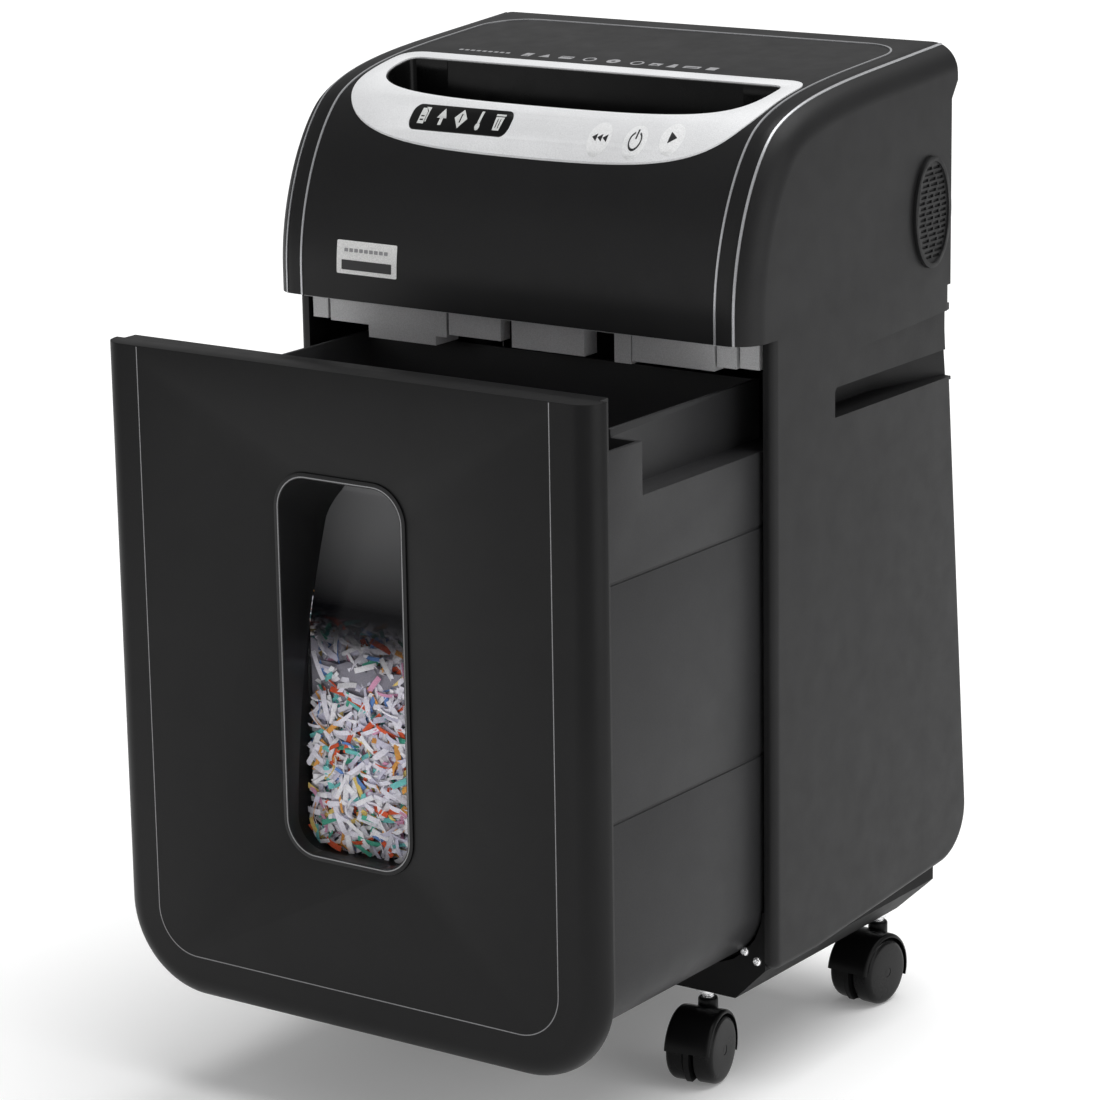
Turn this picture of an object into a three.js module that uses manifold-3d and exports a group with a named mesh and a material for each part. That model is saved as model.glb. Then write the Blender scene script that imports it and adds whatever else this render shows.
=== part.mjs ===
// Pedestal paper shredder on casters: a cutting head on a cabinet, with a bin that slides out of the front.
// Millimetres, +Z up, -Y front, +X right. The floor is z = 0. The bin stands pulled out by BIN_PULL.
import * as THREE from "three";
import { mergeVertices } from "three/addons/utils/BufferGeometryUtils.js";
import Module from "manifold-3d";

const wasm = await Module();
wasm.setup();

// ---- Clearances and walls ----
const GAP = 0.3; // between pieces that touch
const SLIDE_GAP = 1.2; // between the bin and what it slides past
const WALL = 3; // moulded walls

// ---- Casters ----
const WHEEL_RADIUS = 22;
const WHEEL_WIDTH = 14;
const WHEEL_SPLIT = 4.8; // between a caster's two wheels
const AXLE_RADIUS = 3;
const RUNNING_GAP = 0.15; // round an axle or a shaft
const FENDER_GAP = 1;
const FENDER_WALL = 2.5;
const CASTER_TRAIL = 12; // from the swivel's line to the axle
const STEM_RADIUS = 4;
const SOCKET_RISE = 4; // the hood's neck above its top
const STEM_SHOWING = 11; // from the hood's top to the base
const STEM_IN_BASE = 14;
const CASTER_SIDE_FRONT = 57; // from the cabinet's side to the front swivels' lines
const CASTER_SIDE_REAR = 39;
const CASTER_INSET_FRONT = 11; // from the cabinet's front edge to the swivel's line
const CASTER_INSET_BACK = 21; // from the head's back to the swivel's line
const FRONT_TURN = -10; // how the casters stand, in degrees
const REAR_TURN = 4;
const HOOD_TOP = 2 * WHEEL_RADIUS + FENDER_GAP + FENDER_WALL;

// ---- Cabinet ----
const WIDTH = 360; // across the two side panels
const SIDE_THICKNESS = 8;
const SIDE_EDGE = 5; // rounded outer edge of a side panel
const CABINET_HEIGHT = 421; // from the base's underside to the head
const TRAY_HEIGHT = 20; // from the base's underside to the floor that the bin slides on
const TRAY_UPSTAND = 40; // the base's sides above that floor
const TRAY_HEEL = 10; // slope under the base tray's back edge
const TRAY_CHAMFER = 22;
const SIDE_LIFT = 23; // from the base's underside to the side panels' lower edge
const SIDE_LIFT_BACK = 37;
const BACK_FLARE = 31; // how far the back leans out at its foot
const BACK_FOOT_RADIUS = 34;
const BASE_BOTTOM = HOOD_TOP + STEM_SHOWING;
const HEAD_BOTTOM = BASE_BOTTOM + CABINET_HEIGHT;
const TRAY_FLOOR = BASE_BOTTOM + TRAY_HEIGHT;
const HALF = WIDTH / 2;
const INSIDE = HALF - SIDE_THICKNESS;

// ---- Head ----
const HEAD_DEPTH = 238; // at its lower edge
const HEAD_HEIGHT = 152; // at the back
const HEAD_LIP = 7.5; // how far its top reaches out behind
const LIP_HEIGHT = 31;
const TOP_SLOPE = 0.075; // how the top rises towards the back
const HEAD_EDGE = 18; // rounded edge between the head's front and top and its sides
const BROW_BACK = 45; // the point where the head's front has turned halfway to its top
const BROW_HEIGHT = 122;
const LINE_WIDTH = 1.8; // silver trim lines
const LINE_PROUD = 0.5;
const INNER_LINE = 24.5; // from the side to the middle of the line round the cover
const OUTER_LINE = 12; // from the side to the middle of the line beside the side panel
const COVER_BACK = 12; // from the back to that cover line
const COVER_CORNER = 30;
const FRONT = -HEAD_DEPTH / 2;
const BACK = HEAD_DEPTH / 2;
const HEAD_TOP = HEAD_BOTTOM + HEAD_HEIGHT;

// ---- Silver fascia, paper entry and indicators ----
const FASCIA_HALF = HALF - INNER_LINE - 3.5;
const FASCIA_FRONT = 23; // from the head's front, along Y
const FASCIA_BACK = 115;
const FASCIA_SIDE = 72; // where its sides begin to turn in
const FASCIA_PROUD = 0.6;
const FASCIA_DEEP = 1.8;
const ENTRY_HALF = FASCIA_HALF - 11;
const ENTRY_FRONT = 48.5;
const ENTRY_BACK = 103;
const ENTRY_LEDGE = 14; // steep back wall of the entry, above the throat's lead-in
const THROAT_HALF = ENTRY_HALF - 29; // takes a 220 mm sheet
const THROAT_WIDTH = 7;
const THROAT_LINE = 98; // from the head's front to the throat's middle
const THROAT_FLOOR = 112; // above the head's lower edge
const THROAT_END = 96;
const INDICATOR_MIDDLE = -54;
const INDICATOR_WIDTH = 76;
const INDICATOR_FRONT = 29.5;
const INDICATOR_BACK = 42.5;

// ---- Bin ----
const PANEL_DEPTH = 26;
const PANEL_OVERHANG = 0.5; // how far the panel is wider than the cabinet, each side
const PANEL_EDGE = 15; // its rounded sides
const PANEL_FOOT_RADIUS = 58;
const PANEL_LIFT = 5; // from the base's underside
const PANEL_TOP_GAP = 3; // under the head
const BIN_PULL = 166; // how far it stands open at rest
const BIN_TRAVEL_OUT = 50; // further, before it lifts off
const BIN_WALL = 3;
const RUNNER_HEIGHT = 3;
const BIN_FOOT_RADIUS = 42;
const BIN_SHOULDER = 69; // below the head: above this the bin's sides step in past the grips
const BIN_STEP = 20; // how far they step in
const BIN_TOP_DROP = 32; // from the head's lower edge to the bin's rim
const COLLAR_DROP = 37;
const COLLAR_DEPTH = 42;
const BIN_BACK_GAP = 8;
const GROOVES = [115, 259]; // below the head: two shallow grooves along the bin's sides
const WINDOW_WIDTH = 90;
const WINDOW_TOP_DROP = 69.5; // below the head
const WINDOW_HEIGHT = 233;
const WINDOW_RADIUS = 20;
const WINDOW_WALL = 2.4;
const WINDOW_FLANGE = 1.5; // outside that wall, over the panel's face
const PANE_TOP_DEPTH = 50; // behind the panel's face: the pane leans back as a finger pull
const PANE_FOOT_DEPTH = 8;
const PANE_WALL = 2;

// ---- Grips in the side panels ----
const GRIP_DROP = 43; // from the head's lower edge down to the slot
const GRIP_HEIGHT = 17;
const GRIP_DEPTH = 22;
const GRIP_WALL = 2.2;
const GRIP_FRONT = 97; // from the head's front
const GRIP_RAMP = 176; // where the slot's wall starts to run out to the back edge
const SCOOP_DEPTH = 4;
const SCOOP_HEIGHT = 21;
const SCOOP_CLIMB = 8; // its upper edge rises by this towards the back

// ---- Vents ----
const VENT_WIDTH = 44;
const VENT_HEIGHT = 71;
const VENT_RISE = 50; // above the head's lower edge
const VENT_FROM_BACK = 26;
const VENT_PROUD = 2.2;

// ---- Cutting gear ----
const GEAR_MODULE = 2.5;
const TIMING_TEETH = 16; // on each cutter's shaft: they set how far apart the shafts are
const SHAFT_SPACING = TIMING_TEETH * GEAR_MODULE;
const SHAFT_RISE = 69; // above the head's lower edge
const SHAFT_RADIUS = 9;
const JOURNAL_RADIUS = 7;
const STUB_RADIUS = 4; // the idler's stub axle
const DISC_RADIUS = SHAFT_SPACING - SHAFT_RADIUS - 7;
const DISC_THICKNESS = 8;
const DISC_PITCH = 18;
const CUTTER_PLATE = 4;
const CUTTER_HALF = THROAT_HALF + 6; // from the middle to a cutter plate's inner face
const DISC_COUNT = 2 * Math.floor((CUTTER_HALF - 8) / DISC_PITCH);
const PLATE_FOOT = 3; // above the head's lower edge
const DRIVE_TEETH = 28;
const IDLER_TEETH = 20;
const PINION_TEETH = 10;
const GEAR_WIDTH = 12;
const IDLER_ANGLE = -24; // from the rear cutter's line to the idler's, in degrees from +Y
const PINION_ANGLE = 37; // from the idler's line to the motor's
const MOTOR_RADIUS = 27;
const MOTOR_LEFT = 32; // from the left cutter plate to the motor's can
const GEARBOX_LENGTH = 78;
const STUB_CLEARANCE = 0.95; // between the idler's stub axle and the gearbox

// ---- Rear power inlet and switch ----
const POWER_RISE = 30; // above the head's lower edge
const GLAND_RADIUS = 9;
const SWITCH_X = 36 - HALF;
const GLAND_X = SWITCH_X + 36;
const SWITCH_WIDTH = 20;
const SWITCH_HEIGHT = 27;
const SWITCH_DEPTH = 13; // inside the back wall
const ROCKER_SWING = 9; // degrees each way

// ---- Geometry helpers ----
const ALONG_X = new THREE.Matrix4().makeBasis(
  new THREE.Vector3(0, 1, 0),
  new THREE.Vector3(0, 0, 1),
  new THREE.Vector3(1, 0, 0),
);
const ALONG_Y = new THREE.Matrix4().makeBasis(
  new THREE.Vector3(1, 0, 0),
  new THREE.Vector3(0, 0, 1),
  new THREE.Vector3(0, -1, 0),
);

// A three.js geometry as a manifold-3d solid.
function solid(geometry) {
  const bare = geometry.clone();
  bare.deleteAttribute("normal");
  bare.deleteAttribute("uv");
  const merged = mergeVertices(bare, 1e-4);
  return new wasm.Manifold(
    new wasm.Mesh({
      numProp: 3,
      vertProperties: merged.attributes.position.array,
      triVerts: new Uint32Array(merged.index.array),
    }),
  );
}

function shapeOf(outline) {
  return new THREE.Shape(outline.map(([a, b]) => new THREE.Vector2(a, b)));
}

// Outline points are [a, b] or [a, b, radius]: a third number rounds that corner.
function rounded(points, steps = 6) {
  const outline = [];
  points.forEach(([a, b, radius], i) => {
    if (!radius) {
      outline.push([a, b]);
      return;
    }
    const corner = new THREE.Vector2(a, b);
    const before = points.at(i - 1);
    const after = points[(i + 1) % points.length];
    const toBefore = new THREE.Vector2(before[0] - a, before[1] - b).normalize();
    const toAfter = new THREE.Vector2(after[0] - a, after[1] - b).normalize();
    const half = Math.acos(THREE.MathUtils.clamp(toBefore.dot(toAfter), -1, 1)) / 2;
    const middle = toBefore.clone().add(toAfter).normalize();
    const centre = corner.clone().addScaledVector(middle, radius / Math.sin(half));
    const reach = radius / Math.tan(half);
    const start = corner.clone().addScaledVector(toBefore, reach).sub(centre);
    const end = corner.clone().addScaledVector(toAfter, reach).sub(centre);
    let turn = end.angle() - start.angle();
    if (turn > Math.PI) turn -= 2 * Math.PI;
    if (turn < -Math.PI) turn += 2 * Math.PI;
    for (let k = 0; k <= steps; k++) {
      const angle = start.angle() + (turn * k) / steps;
      outline.push([centre.x + radius * Math.cos(angle), centre.y + radius * Math.sin(angle)]);
    }
  });
  return outline;
}

// The outline moved inwards by a distance (outwards when it is negative).
function inset(outline, distance) {
  const area = THREE.ShapeUtils.area(outline.map(([a, b]) => new THREE.Vector2(a, b)));
  const side = Math.sign(area) * distance;
  return outline.map(([a, b], i) => {
    const before = outline.at(i - 1);
    const after = outline[(i + 1) % outline.length];
    const one = new THREE.Vector2(a - before[0], b - before[1]).normalize();
    const two = new THREE.Vector2(after[0] - a, after[1] - b).normalize();
    const normal = new THREE.Vector2(-one.y - two.y, one.x + two.x).normalize();
    const stretch = 1 / Math.max(0.3, -one.y * normal.x + one.x * normal.y);
    return [a + normal.x * side * stretch, b + normal.y * side * stretch];
  });
}

function rectangle(a0, a1, b0, b1, radius = 0) {
  return rounded([
    [a0, b0, radius],
    [a1, b0, radius],
    [a1, b1, radius],
    [a0, b1, radius],
  ]);
}

function prism(outline, from, to, matrix) {
  const geometry = new THREE.ExtrudeGeometry(shapeOf(outline), {
    depth: to - from,
    bevelEnabled: false,
  });
  geometry.translate(0, 0, from);
  if (matrix) geometry.applyMatrix4(matrix);
  return solid(geometry);
}

const prismX = (outline, x0, x1) => prism(outline, x0, x1, ALONG_X);
const prismY = (outline, y0, y1) => prism(outline, -y1, -y0, ALONG_Y);
const prismZ = (outline, z0, z1) => prism(outline, z0, z1);

// A prism whose two ends have a rounded edge.
function pillow(outline, from, to, edge, steps, matrix) {
  const geometry = new THREE.ExtrudeGeometry(shapeOf(outline), {
    depth: to - from - 2 * edge,
    bevelThickness: edge,
    bevelSize: edge,
    bevelOffset: -edge,
    bevelSegments: steps,
  });
  geometry.translate(0, 0, from + edge);
  geometry.applyMatrix4(matrix);
  return solid(geometry);
}

function box(x0, x1, y0, y1, z0, z1) {
  const geometry = new THREE.BoxGeometry(x1 - x0, y1 - y0, z1 - z0);
  geometry.translate((x0 + x1) / 2, (y0 + y1) / 2, (z0 + z1) / 2);
  return solid(geometry);
}

function cylinderX(radius, x0, x1, y, z, sides = 24) {
  const geometry = new THREE.CylinderGeometry(radius, radius, x1 - x0, sides);
  geometry.rotateZ(Math.PI / 2);
  geometry.translate((x0 + x1) / 2, y, z);
  return solid(geometry);
}

function cylinderY(radius, y0, y1, x, z, sides = 24) {
  const geometry = new THREE.CylinderGeometry(radius, radius, y1 - y0, sides);
  geometry.translate(x, (y0 + y1) / 2, z);
  return solid(geometry);
}

function cylinderZ(radius, z0, z1, x, y, sides = 24) {
  const geometry = new THREE.CylinderGeometry(radius, radius, z1 - z0, sides);
  geometry.rotateX(Math.PI / 2);
  geometry.translate(x, y, (z0 + z1) / 2);
  return solid(geometry);
}

// A turned shape round the X axis. Profile points are [radius, x], from the axis back to the axis.
function turnedX(profile, sides = 24) {
  const points = profile.map(([radius, x]) => new THREE.Vector2(radius, x));
  const geometry = new THREE.LatheGeometry(points, sides);
  geometry.rotateZ(-Math.PI / 2);
  return solid(geometry);
}

// The sum of the first solid and the others.
function join(first, ...others) {
  return others.reduce((sum, other) => sum.add(other), first);
}

// The first solid without the others.
function cut(first, ...others) {
  return others.reduce((rest, other) => rest.subtract(other), first);
}

const mirrored = (shape) => shape.mirror([1, 0, 0]);

// ---- Materials and meshes ----
const FINISHES = {
  black: { color: 0x1d1d1f, roughness: 0.42, metalness: 0 },
  side: { color: 0x2b2b2d, roughness: 0.5, metalness: 0 },
  inner: { color: 0x1a1a1b, roughness: 0.6, metalness: 0 },
  grey: { color: 0x6a6a6c, roughness: 0.55, metalness: 0 },
  silver: { color: 0xc9cacc, roughness: 0.35, metalness: 0.2 },
  chrome: { color: 0xd4d6d8, roughness: 0.2, metalness: 1 },
  steel: { color: 0x8b8d90, roughness: 0.35, metalness: 1 },
  glass: { color: 0x9aa0a6, roughness: 0.1, metalness: 0 },
  rubber: { color: 0x18181a, roughness: 0.5, metalness: 0 },
  board: { color: 0x1f5a36, roughness: 0.5, metalness: 0 },
};

function mesh(name, shape, finish) {
  const made = shape.getMesh();
  const stride = made.numProp;
  const positions = new Float32Array(made.numVert * 3);
  for (let i = 0; i < made.numVert; i++) {
    positions.set(made.vertProperties.subarray(i * stride, i * stride + 3), i * 3);
  }
  const geometry = new THREE.BufferGeometry();
  geometry.setAttribute("position", new THREE.BufferAttribute(positions, 3));
  geometry.setIndex(new THREE.BufferAttribute(made.triVerts, 1));
  geometry.computeVertexNormals();
  const piece = new THREE.Mesh(geometry, new THREE.MeshStandardMaterial(FINISHES[finish]));
  piece.name = name;
  return piece;
}

// ---- Head: shared forms ----
const BELOW = 60; // cutters and rounded ends run this far past the head's open lower and back sides

function headOutline() {
  const path = new THREE.Path();
  path.moveTo(FRONT, HEAD_BOTTOM - BELOW);
  path.lineTo(FRONT, HEAD_BOTTOM + 15);
  const browY = FRONT + BROW_BACK;
  const browZ = HEAD_BOTTOM + BROW_HEIGHT;
  path.bezierCurveTo(FRONT, browZ - 60, browY - 21, browZ - 15, browY, browZ);
  const topAt = (y) => HEAD_TOP - TOP_SLOPE * (BACK + HEAD_LIP - y);
  const flatY = browY + 130;
  path.bezierCurveTo(browY + 25, browZ + 17, browY + 80, topAt(browY + 80), flatY, topAt(flatY));
  path.lineTo(BACK + BELOW, topAt(BACK + BELOW));
  path.lineTo(BACK + BELOW, HEAD_BOTTOM - BELOW);
  return path.getPoints(7).map((point) => [point.x, point.y]);
}

// The head's outer form, made smaller by a depth, before its lower and back sides are cut.
function headForm(depth) {
  const reach = HALF - depth;
  return pillow(inset(headOutline(), depth), -reach, reach, HEAD_EDGE - depth, 5, ALONG_X);
}

// Everything from the head's front to its back, where the top reaches out further than the wall.
function headRoom(x0, x1) {
  const under = box(x0, x1, FRONT - 9, BACK, HEAD_BOTTOM, HEAD_TOP);
  const lip = box(x0, x1, BACK - WALL, BACK + HEAD_LIP, HEAD_TOP - LIP_HEIGHT, HEAD_TOP + 9);
  return join(under, lip, box(x0, x1, FRONT - 9, BACK, HEAD_BOTTOM + 1, HEAD_TOP + 9));
}

function headBand(outer, inner) {
  return headForm(outer).subtract(headForm(inner)).intersect(headRoom(-WIDTH, WIDTH));
}

// The cover's outline in plan: its front runs past the head's front.
function coverPlan(outward) {
  const reach = HALF - INNER_LINE + outward;
  const back = BACK - COVER_BACK + outward;
  const corner = COVER_CORNER + outward;
  return rounded([
    [-reach, FRONT - 9],
    [reach, FRONT - 9],
    [reach, back, corner],
    [-reach, back, corner],
  ]);
}

function arcPlan(half, back, side, front, corner) {
  const path = new THREE.Path();
  path.moveTo(half - corner, FRONT + back);
  path.quadraticCurveTo(half, FRONT + back, half, FRONT + back - corner);
  path.lineTo(half, FRONT + side);
  path.bezierCurveTo(half, FRONT + front + 4, half * 0.86, FRONT + front, 0, FRONT + front);
  path.bezierCurveTo(-half * 0.86, FRONT + front, -half, FRONT + front + 4, -half, FRONT + side);
  path.lineTo(-half, FRONT + back - corner);
  path.quadraticCurveTo(-half, FRONT + back, -half + corner, FRONT + back);
  return path.getPoints(8).map((point) => [point.x, point.y]);
}

const fasciaPlan = () => arcPlan(FASCIA_HALF, FASCIA_BACK, FASCIA_SIDE, FASCIA_FRONT, 16);
const entryPlan = () => arcPlan(ENTRY_HALF, ENTRY_BACK, ENTRY_BACK - 12, ENTRY_FRONT, 9);

function indicatorPlan() {
  const x0 = INDICATOR_MIDDLE - INDICATOR_WIDTH / 2;
  return rectangle(
    x0,
    x0 + INDICATOR_WIDTH,
    FRONT + INDICATOR_FRONT,
    FRONT + INDICATOR_BACK,
    5,
  );
}

const ABOVE = HEAD_TOP + 20;
const through = (plan) => prismZ(plan, HEAD_BOTTOM, ABOVE);

// ---- Head pieces ----
const throatY = FRONT + THROAT_LINE;
const throatFloor = HEAD_BOTTOM + THROAT_FLOOR;
const throatEnd = HEAD_BOTTOM + THROAT_END;

function headCover() {
  const shell = headBand(0, WALL).intersect(through(coverPlan(-LINE_WIDTH / 2 - GAP)));
  const recess = through(inset(fasciaPlan(), -GAP)).subtract(headForm(FASCIA_DEEP + GAP));
  return cut(shell, recess, through(inset(entryPlan(), -GAP)));
}

function headRim() {
  const reach = HALF - OUTER_LINE - LINE_WIDTH / 2 - GAP;
  const room = headRoom(-reach, reach);
  const frame = headBand(0, WALL).subtract(through(coverPlan(LINE_WIDTH / 2 + GAP)));
  const rear = box(-reach, reach, BACK - WALL, BACK + BELOW, HEAD_BOTTOM, ABOVE);
  const wall = headForm(0).intersect(room).intersect(rear);
  const whole = frame.intersect(room).add(wall);
  const gland = cylinderY(GLAND_RADIUS + GAP, BACK - WALL - 1, BACK + 1, GLAND_X, POWER_Z);
  const opening = box(
    SWITCH_X - SWITCH_WIDTH / 2 - GAP,
    SWITCH_X + SWITCH_WIDTH / 2 + GAP,
    BACK - WALL - 1,
    BACK + 1,
    POWER_Z - SWITCH_HEIGHT / 2 - GAP,
    POWER_Z + SWITCH_HEIGHT / 2 + GAP,
  );
  return cut(whole, gland, opening);
}

function innerTrim() {
  const band = headBand(-LINE_PROUD, WALL);
  const outside = through(coverPlan(LINE_WIDTH / 2));
  return band.intersect(outside).subtract(through(coverPlan(-LINE_WIDTH / 2)));
}

function outerTrim() {
  const middle = HALF - OUTER_LINE;
  const room = headRoom(middle - LINE_WIDTH / 2, middle + LINE_WIDTH / 2);
  return headBand(-LINE_PROUD, WALL + 1).intersect(room);
}

function controlFascia() {
  const plate = headBand(-FASCIA_PROUD, FASCIA_DEEP).intersect(through(fasciaPlan()));
  const pocket = through(inset(indicatorPlan(), -GAP)).subtract(headForm(0.4 + GAP));
  return cut(plate, through(inset(entryPlan(), -GAP)), pocket);
}

const indicatorWindow = () =>
  headBand(-FASCIA_PROUD - 0.2, 0.4).intersect(through(indicatorPlan()));

// A tub in the fascia: a ramp at its front and a steep back wall lead paper into the throat.
function paperFunnel() {
  const floor = throatFloor - WALL;
  const tub = prismZ(entryPlan(), floor, ABOVE).intersect(headForm(0.2));
  const y0 = throatY - THROAT_WIDTH / 2;
  const y1 = throatY + THROAT_WIDTH / 2;
  const back = FRONT + ENTRY_BACK - 2;
  const hollow = prismZ(inset(entryPlan(), 2), floor, ABOVE);
  const front = FRONT + ENTRY_FRONT;
  const lead = prismX(
    [
      [front, HEAD_BOTTOM + BROW_HEIGHT - 2],
      [y0, throatFloor],
      [y1, throatFloor],
      [back, HEAD_TOP - ENTRY_LEDGE],
      [back, ABOVE],
      [front, ABOVE],
    ],
    -ENTRY_HALF,
    ENTRY_HALF,
  );
  const chute = box(
    -THROAT_HALF - 2,
    THROAT_HALF + 2,
    y0 - 2,
    y1 + 2,
    throatEnd,
    throatFloor - 0.5,
  );
  const slot = box(-THROAT_HALF, THROAT_HALF, y0, y1, throatEnd - 1, ABOVE);
  return cut(tub.subtract(hollow.intersect(lead)).add(chute), slot);
}

// The grey frame under the head. Its tabs hang just behind the closed bin's panel.
const FRAME_PLATE = 4;
const TABS = [
  // [from x, to x, how far it hangs, how thick from front to back]
  [-169, -157, 20, 10],
  [-155, -124.5, 21, 10],
  [-124.5, -71.5, 29, 24],
  [-71.4, -63, 23, 8],
  [-61, -21, 21, 10],
  [-12.5, 42, 24, 14],
  [64.5, 76.8, 25, 14],
  [77.6, 137, 23, 10],
  [139, 152.5, 20, 10],
  [155.5, 169, 19, 10],
];

function headUnderframe() {
  const front = FRONT + WALL + 1;
  const back = BACK - WALL - 1;
  const top = HEAD_BOTTOM + PLATE_FOOT - GAP;
  const under = top - FRAME_PLATE;
  const tabFront = FRONT + PANEL_DEPTH + 2;
  const reach = INSIDE - 1.5;
  const plan = rounded([
    [-reach, front, HEAD_EDGE],
    [reach, front, HEAD_EDGE],
    [reach, back],
    [-reach, back],
  ]);
  const plate = prismZ(plan, under, top);
  const chute = box(
    -THROAT_HALF,
    THROAT_HALF,
    throatY - 38,
    throatY + 38,
    under - 1,
    top + 1,
  );
  const scale = (INSIDE - 2) / 170;
  const tabs = TABS.map(([x0, x1, drop, thick]) =>
    box(x0 * scale, x1 * scale, tabFront, tabFront + thick, HEAD_BOTTOM - drop, under + 1),
  );
  const beam = box(-INSIDE + 8, INSIDE - 8, tabFront + 4, tabFront + 9, under - 6, under + 1);
  return cut(join(plate, ...tabs, beam), chute);
}

// ---- Rear power inlet and switch ----
const POWER_Z = HEAD_BOTTOM + POWER_RISE;

function cordGland() {
  const flange = cylinderY(GLAND_RADIUS + 3, BACK + GAP, BACK + 3, GLAND_X, POWER_Z);
  const barrel = cylinderY(GLAND_RADIUS, BACK - WALL - 5, BACK + 9, GLAND_X, POWER_Z);
  const bore = cylinderY(4.2, BACK - 30, BACK + 30, GLAND_X, POWER_Z, 16);
  return flange.add(barrel).subtract(bore);
}

function switchFrame() {
  const w = SWITCH_WIDTH / 2;
  const h = SWITCH_HEIGHT / 2;
  const block = (grow, y0, y1) =>
    box(
      SWITCH_X - w - grow,
      SWITCH_X + w + grow,
      y0,
      y1,
      POWER_Z - h - grow,
      POWER_Z + h + grow,
    );
  const lip = block(2, BACK + GAP, BACK + 2);
  const can = block(0, BACK - SWITCH_DEPTH, BACK + 1);
  const well = block(-2, BACK - SWITCH_DEPTH + 4, BACK + 5);
  return lip.add(can).subtract(well);
}

// The rocker is drawn round its own pivot line, at rest pressed to one side.
function rocker() {
  const w = SWITCH_WIDTH / 2 - 2.6;
  const h = SWITCH_HEIGHT / 2 - 3.4;
  const outline = [
    [-4, -h + 2],
    [3.4, -h],
    [2, 0],
    [3.4, h],
    [-4, h - 2],
  ];
  return prismX(outline, -w, w);
}

// ---- Side panels: one tall moulding each side, from the head's edge to the foot ----
const sideFront = FRONT + PANEL_DEPTH + 1;
const sideBottom = BASE_BOTTOM + SIDE_LIFT;
const gripTop = HEAD_BOTTOM - GRIP_DROP;
const gripBottom = gripTop - GRIP_HEIGHT;
const backFoot = BACK + BACK_FLARE;

function sideOutline() {
  return rounded([
    [sideFront, sideBottom, SIDE_EDGE + 3],
    [FRONT + 80, sideBottom],
    [backFoot, BASE_BOTTOM + SIDE_LIFT_BACK, BACK_FOOT_RADIUS],
    [BACK, HEAD_BOTTOM - 30],
    [BACK, HEAD_BOTTOM + BELOW],
    [sideFront, HEAD_BOTTOM + BELOW],
  ]);
}

function gripPlan(outward) {
  const inner = HALF - GRIP_DEPTH - outward;
  return [
    [HALF + 20, FRONT + GRIP_FRONT - outward],
    [inner, FRONT + GRIP_FRONT - outward],
    [inner, FRONT + GRIP_RAMP],
    [HALF - SCOOP_DEPTH - outward, BACK + 6],
    [HALF - SCOOP_DEPTH - outward, backFoot + 20],
    [HALF + 20, backFoot + 20],
  ];
}

function sidePanel() {
  const outline = sideOutline();
  const block = pillow(outline, -HALF, HALF, SIDE_EDGE, 3, ALONG_X);
  const hollow = prismX(inset(outline, WALL), -HALF + WALL, HALF - WALL);
  const keep = box(INSIDE, HALF + 1, FRONT - 9, backFoot + 9, 0, HEAD_BOTTOM + 30);
  const lower = block.subtract(hollow).intersect(keep);
  const below = box(-WIDTH, WIDTH, FRONT - 9, backFoot + 9, 0, HEAD_BOTTOM);
  const fitted = lower.intersect(headForm(0).add(below));
  const edge = HALF - OUTER_LINE + LINE_WIDTH / 2 + GAP;
  const upper = headBand(0, WALL).intersect(headRoom(edge, HALF + 1));
  const scoopTop = gripTop + SCOOP_HEIGHT + SCOOP_CLIMB;
  const aroundSlot = box(0, HALF, FRONT, backFoot, 0, gripTop + GRIP_WALL);
  const behindScoop = box(INSIDE, HALF, FRONT, backFoot, 0, HEAD_BOTTOM);
  const backing = prismZ(gripPlan(GRIP_WALL), gripBottom - GRIP_WALL, scoopTop + GRIP_WALL)
    .intersect(prismX(inset(outline, 0.5), 0, HALF - 0.6))
    .intersect(aroundSlot.add(behindScoop));
  const slot = prismZ(gripPlan(0), gripBottom, gripTop);
  const scoop = prismX(
    [
      [FRONT + GRIP_FRONT, gripTop - 1],
      [FRONT + GRIP_FRONT + 16, gripTop + SCOOP_HEIGHT],
      [backFoot, scoopTop],
      [backFoot, gripTop - 1],
    ],
    HALF - SCOOP_DEPTH,
    HALF + 5,
  );
  return cut(join(fitted, upper, backing), slot, scoop);
}

function ventGrille() {
  const y = BACK - VENT_FROM_BACK;
  const z = HEAD_BOTTOM + VENT_RISE;
  const oval = (shrink) => {
    const path = new THREE.Path();
    path.absellipse(y, z, VENT_WIDTH / 2 - shrink, VENT_HEIGHT / 2 - shrink, 0, 2 * Math.PI);
    return path.getPoints(14).slice(1).map((point) => [point.x, point.y]);
  };
  const base = HALF + GAP;
  const rim = prismX(oval(0), base, base + VENT_PROUD);
  const dish = prismX(oval(3.5), base + VENT_PROUD - 1, base + VENT_PROUD + 1);
  const rows = [];
  for (let k = -4; k <= 4; k++) {
    const half = (VENT_WIDTH / 2 - 5) * Math.sqrt(1 - (k / 5.2) ** 2);
    rows.push(box(base - 1, base + 9, y - half, y + half, z + k * 6.6 - 1.2, z + k * 6.6 + 1.2));
  }
  return cut(rim, dish, ...rows);
}

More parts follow.
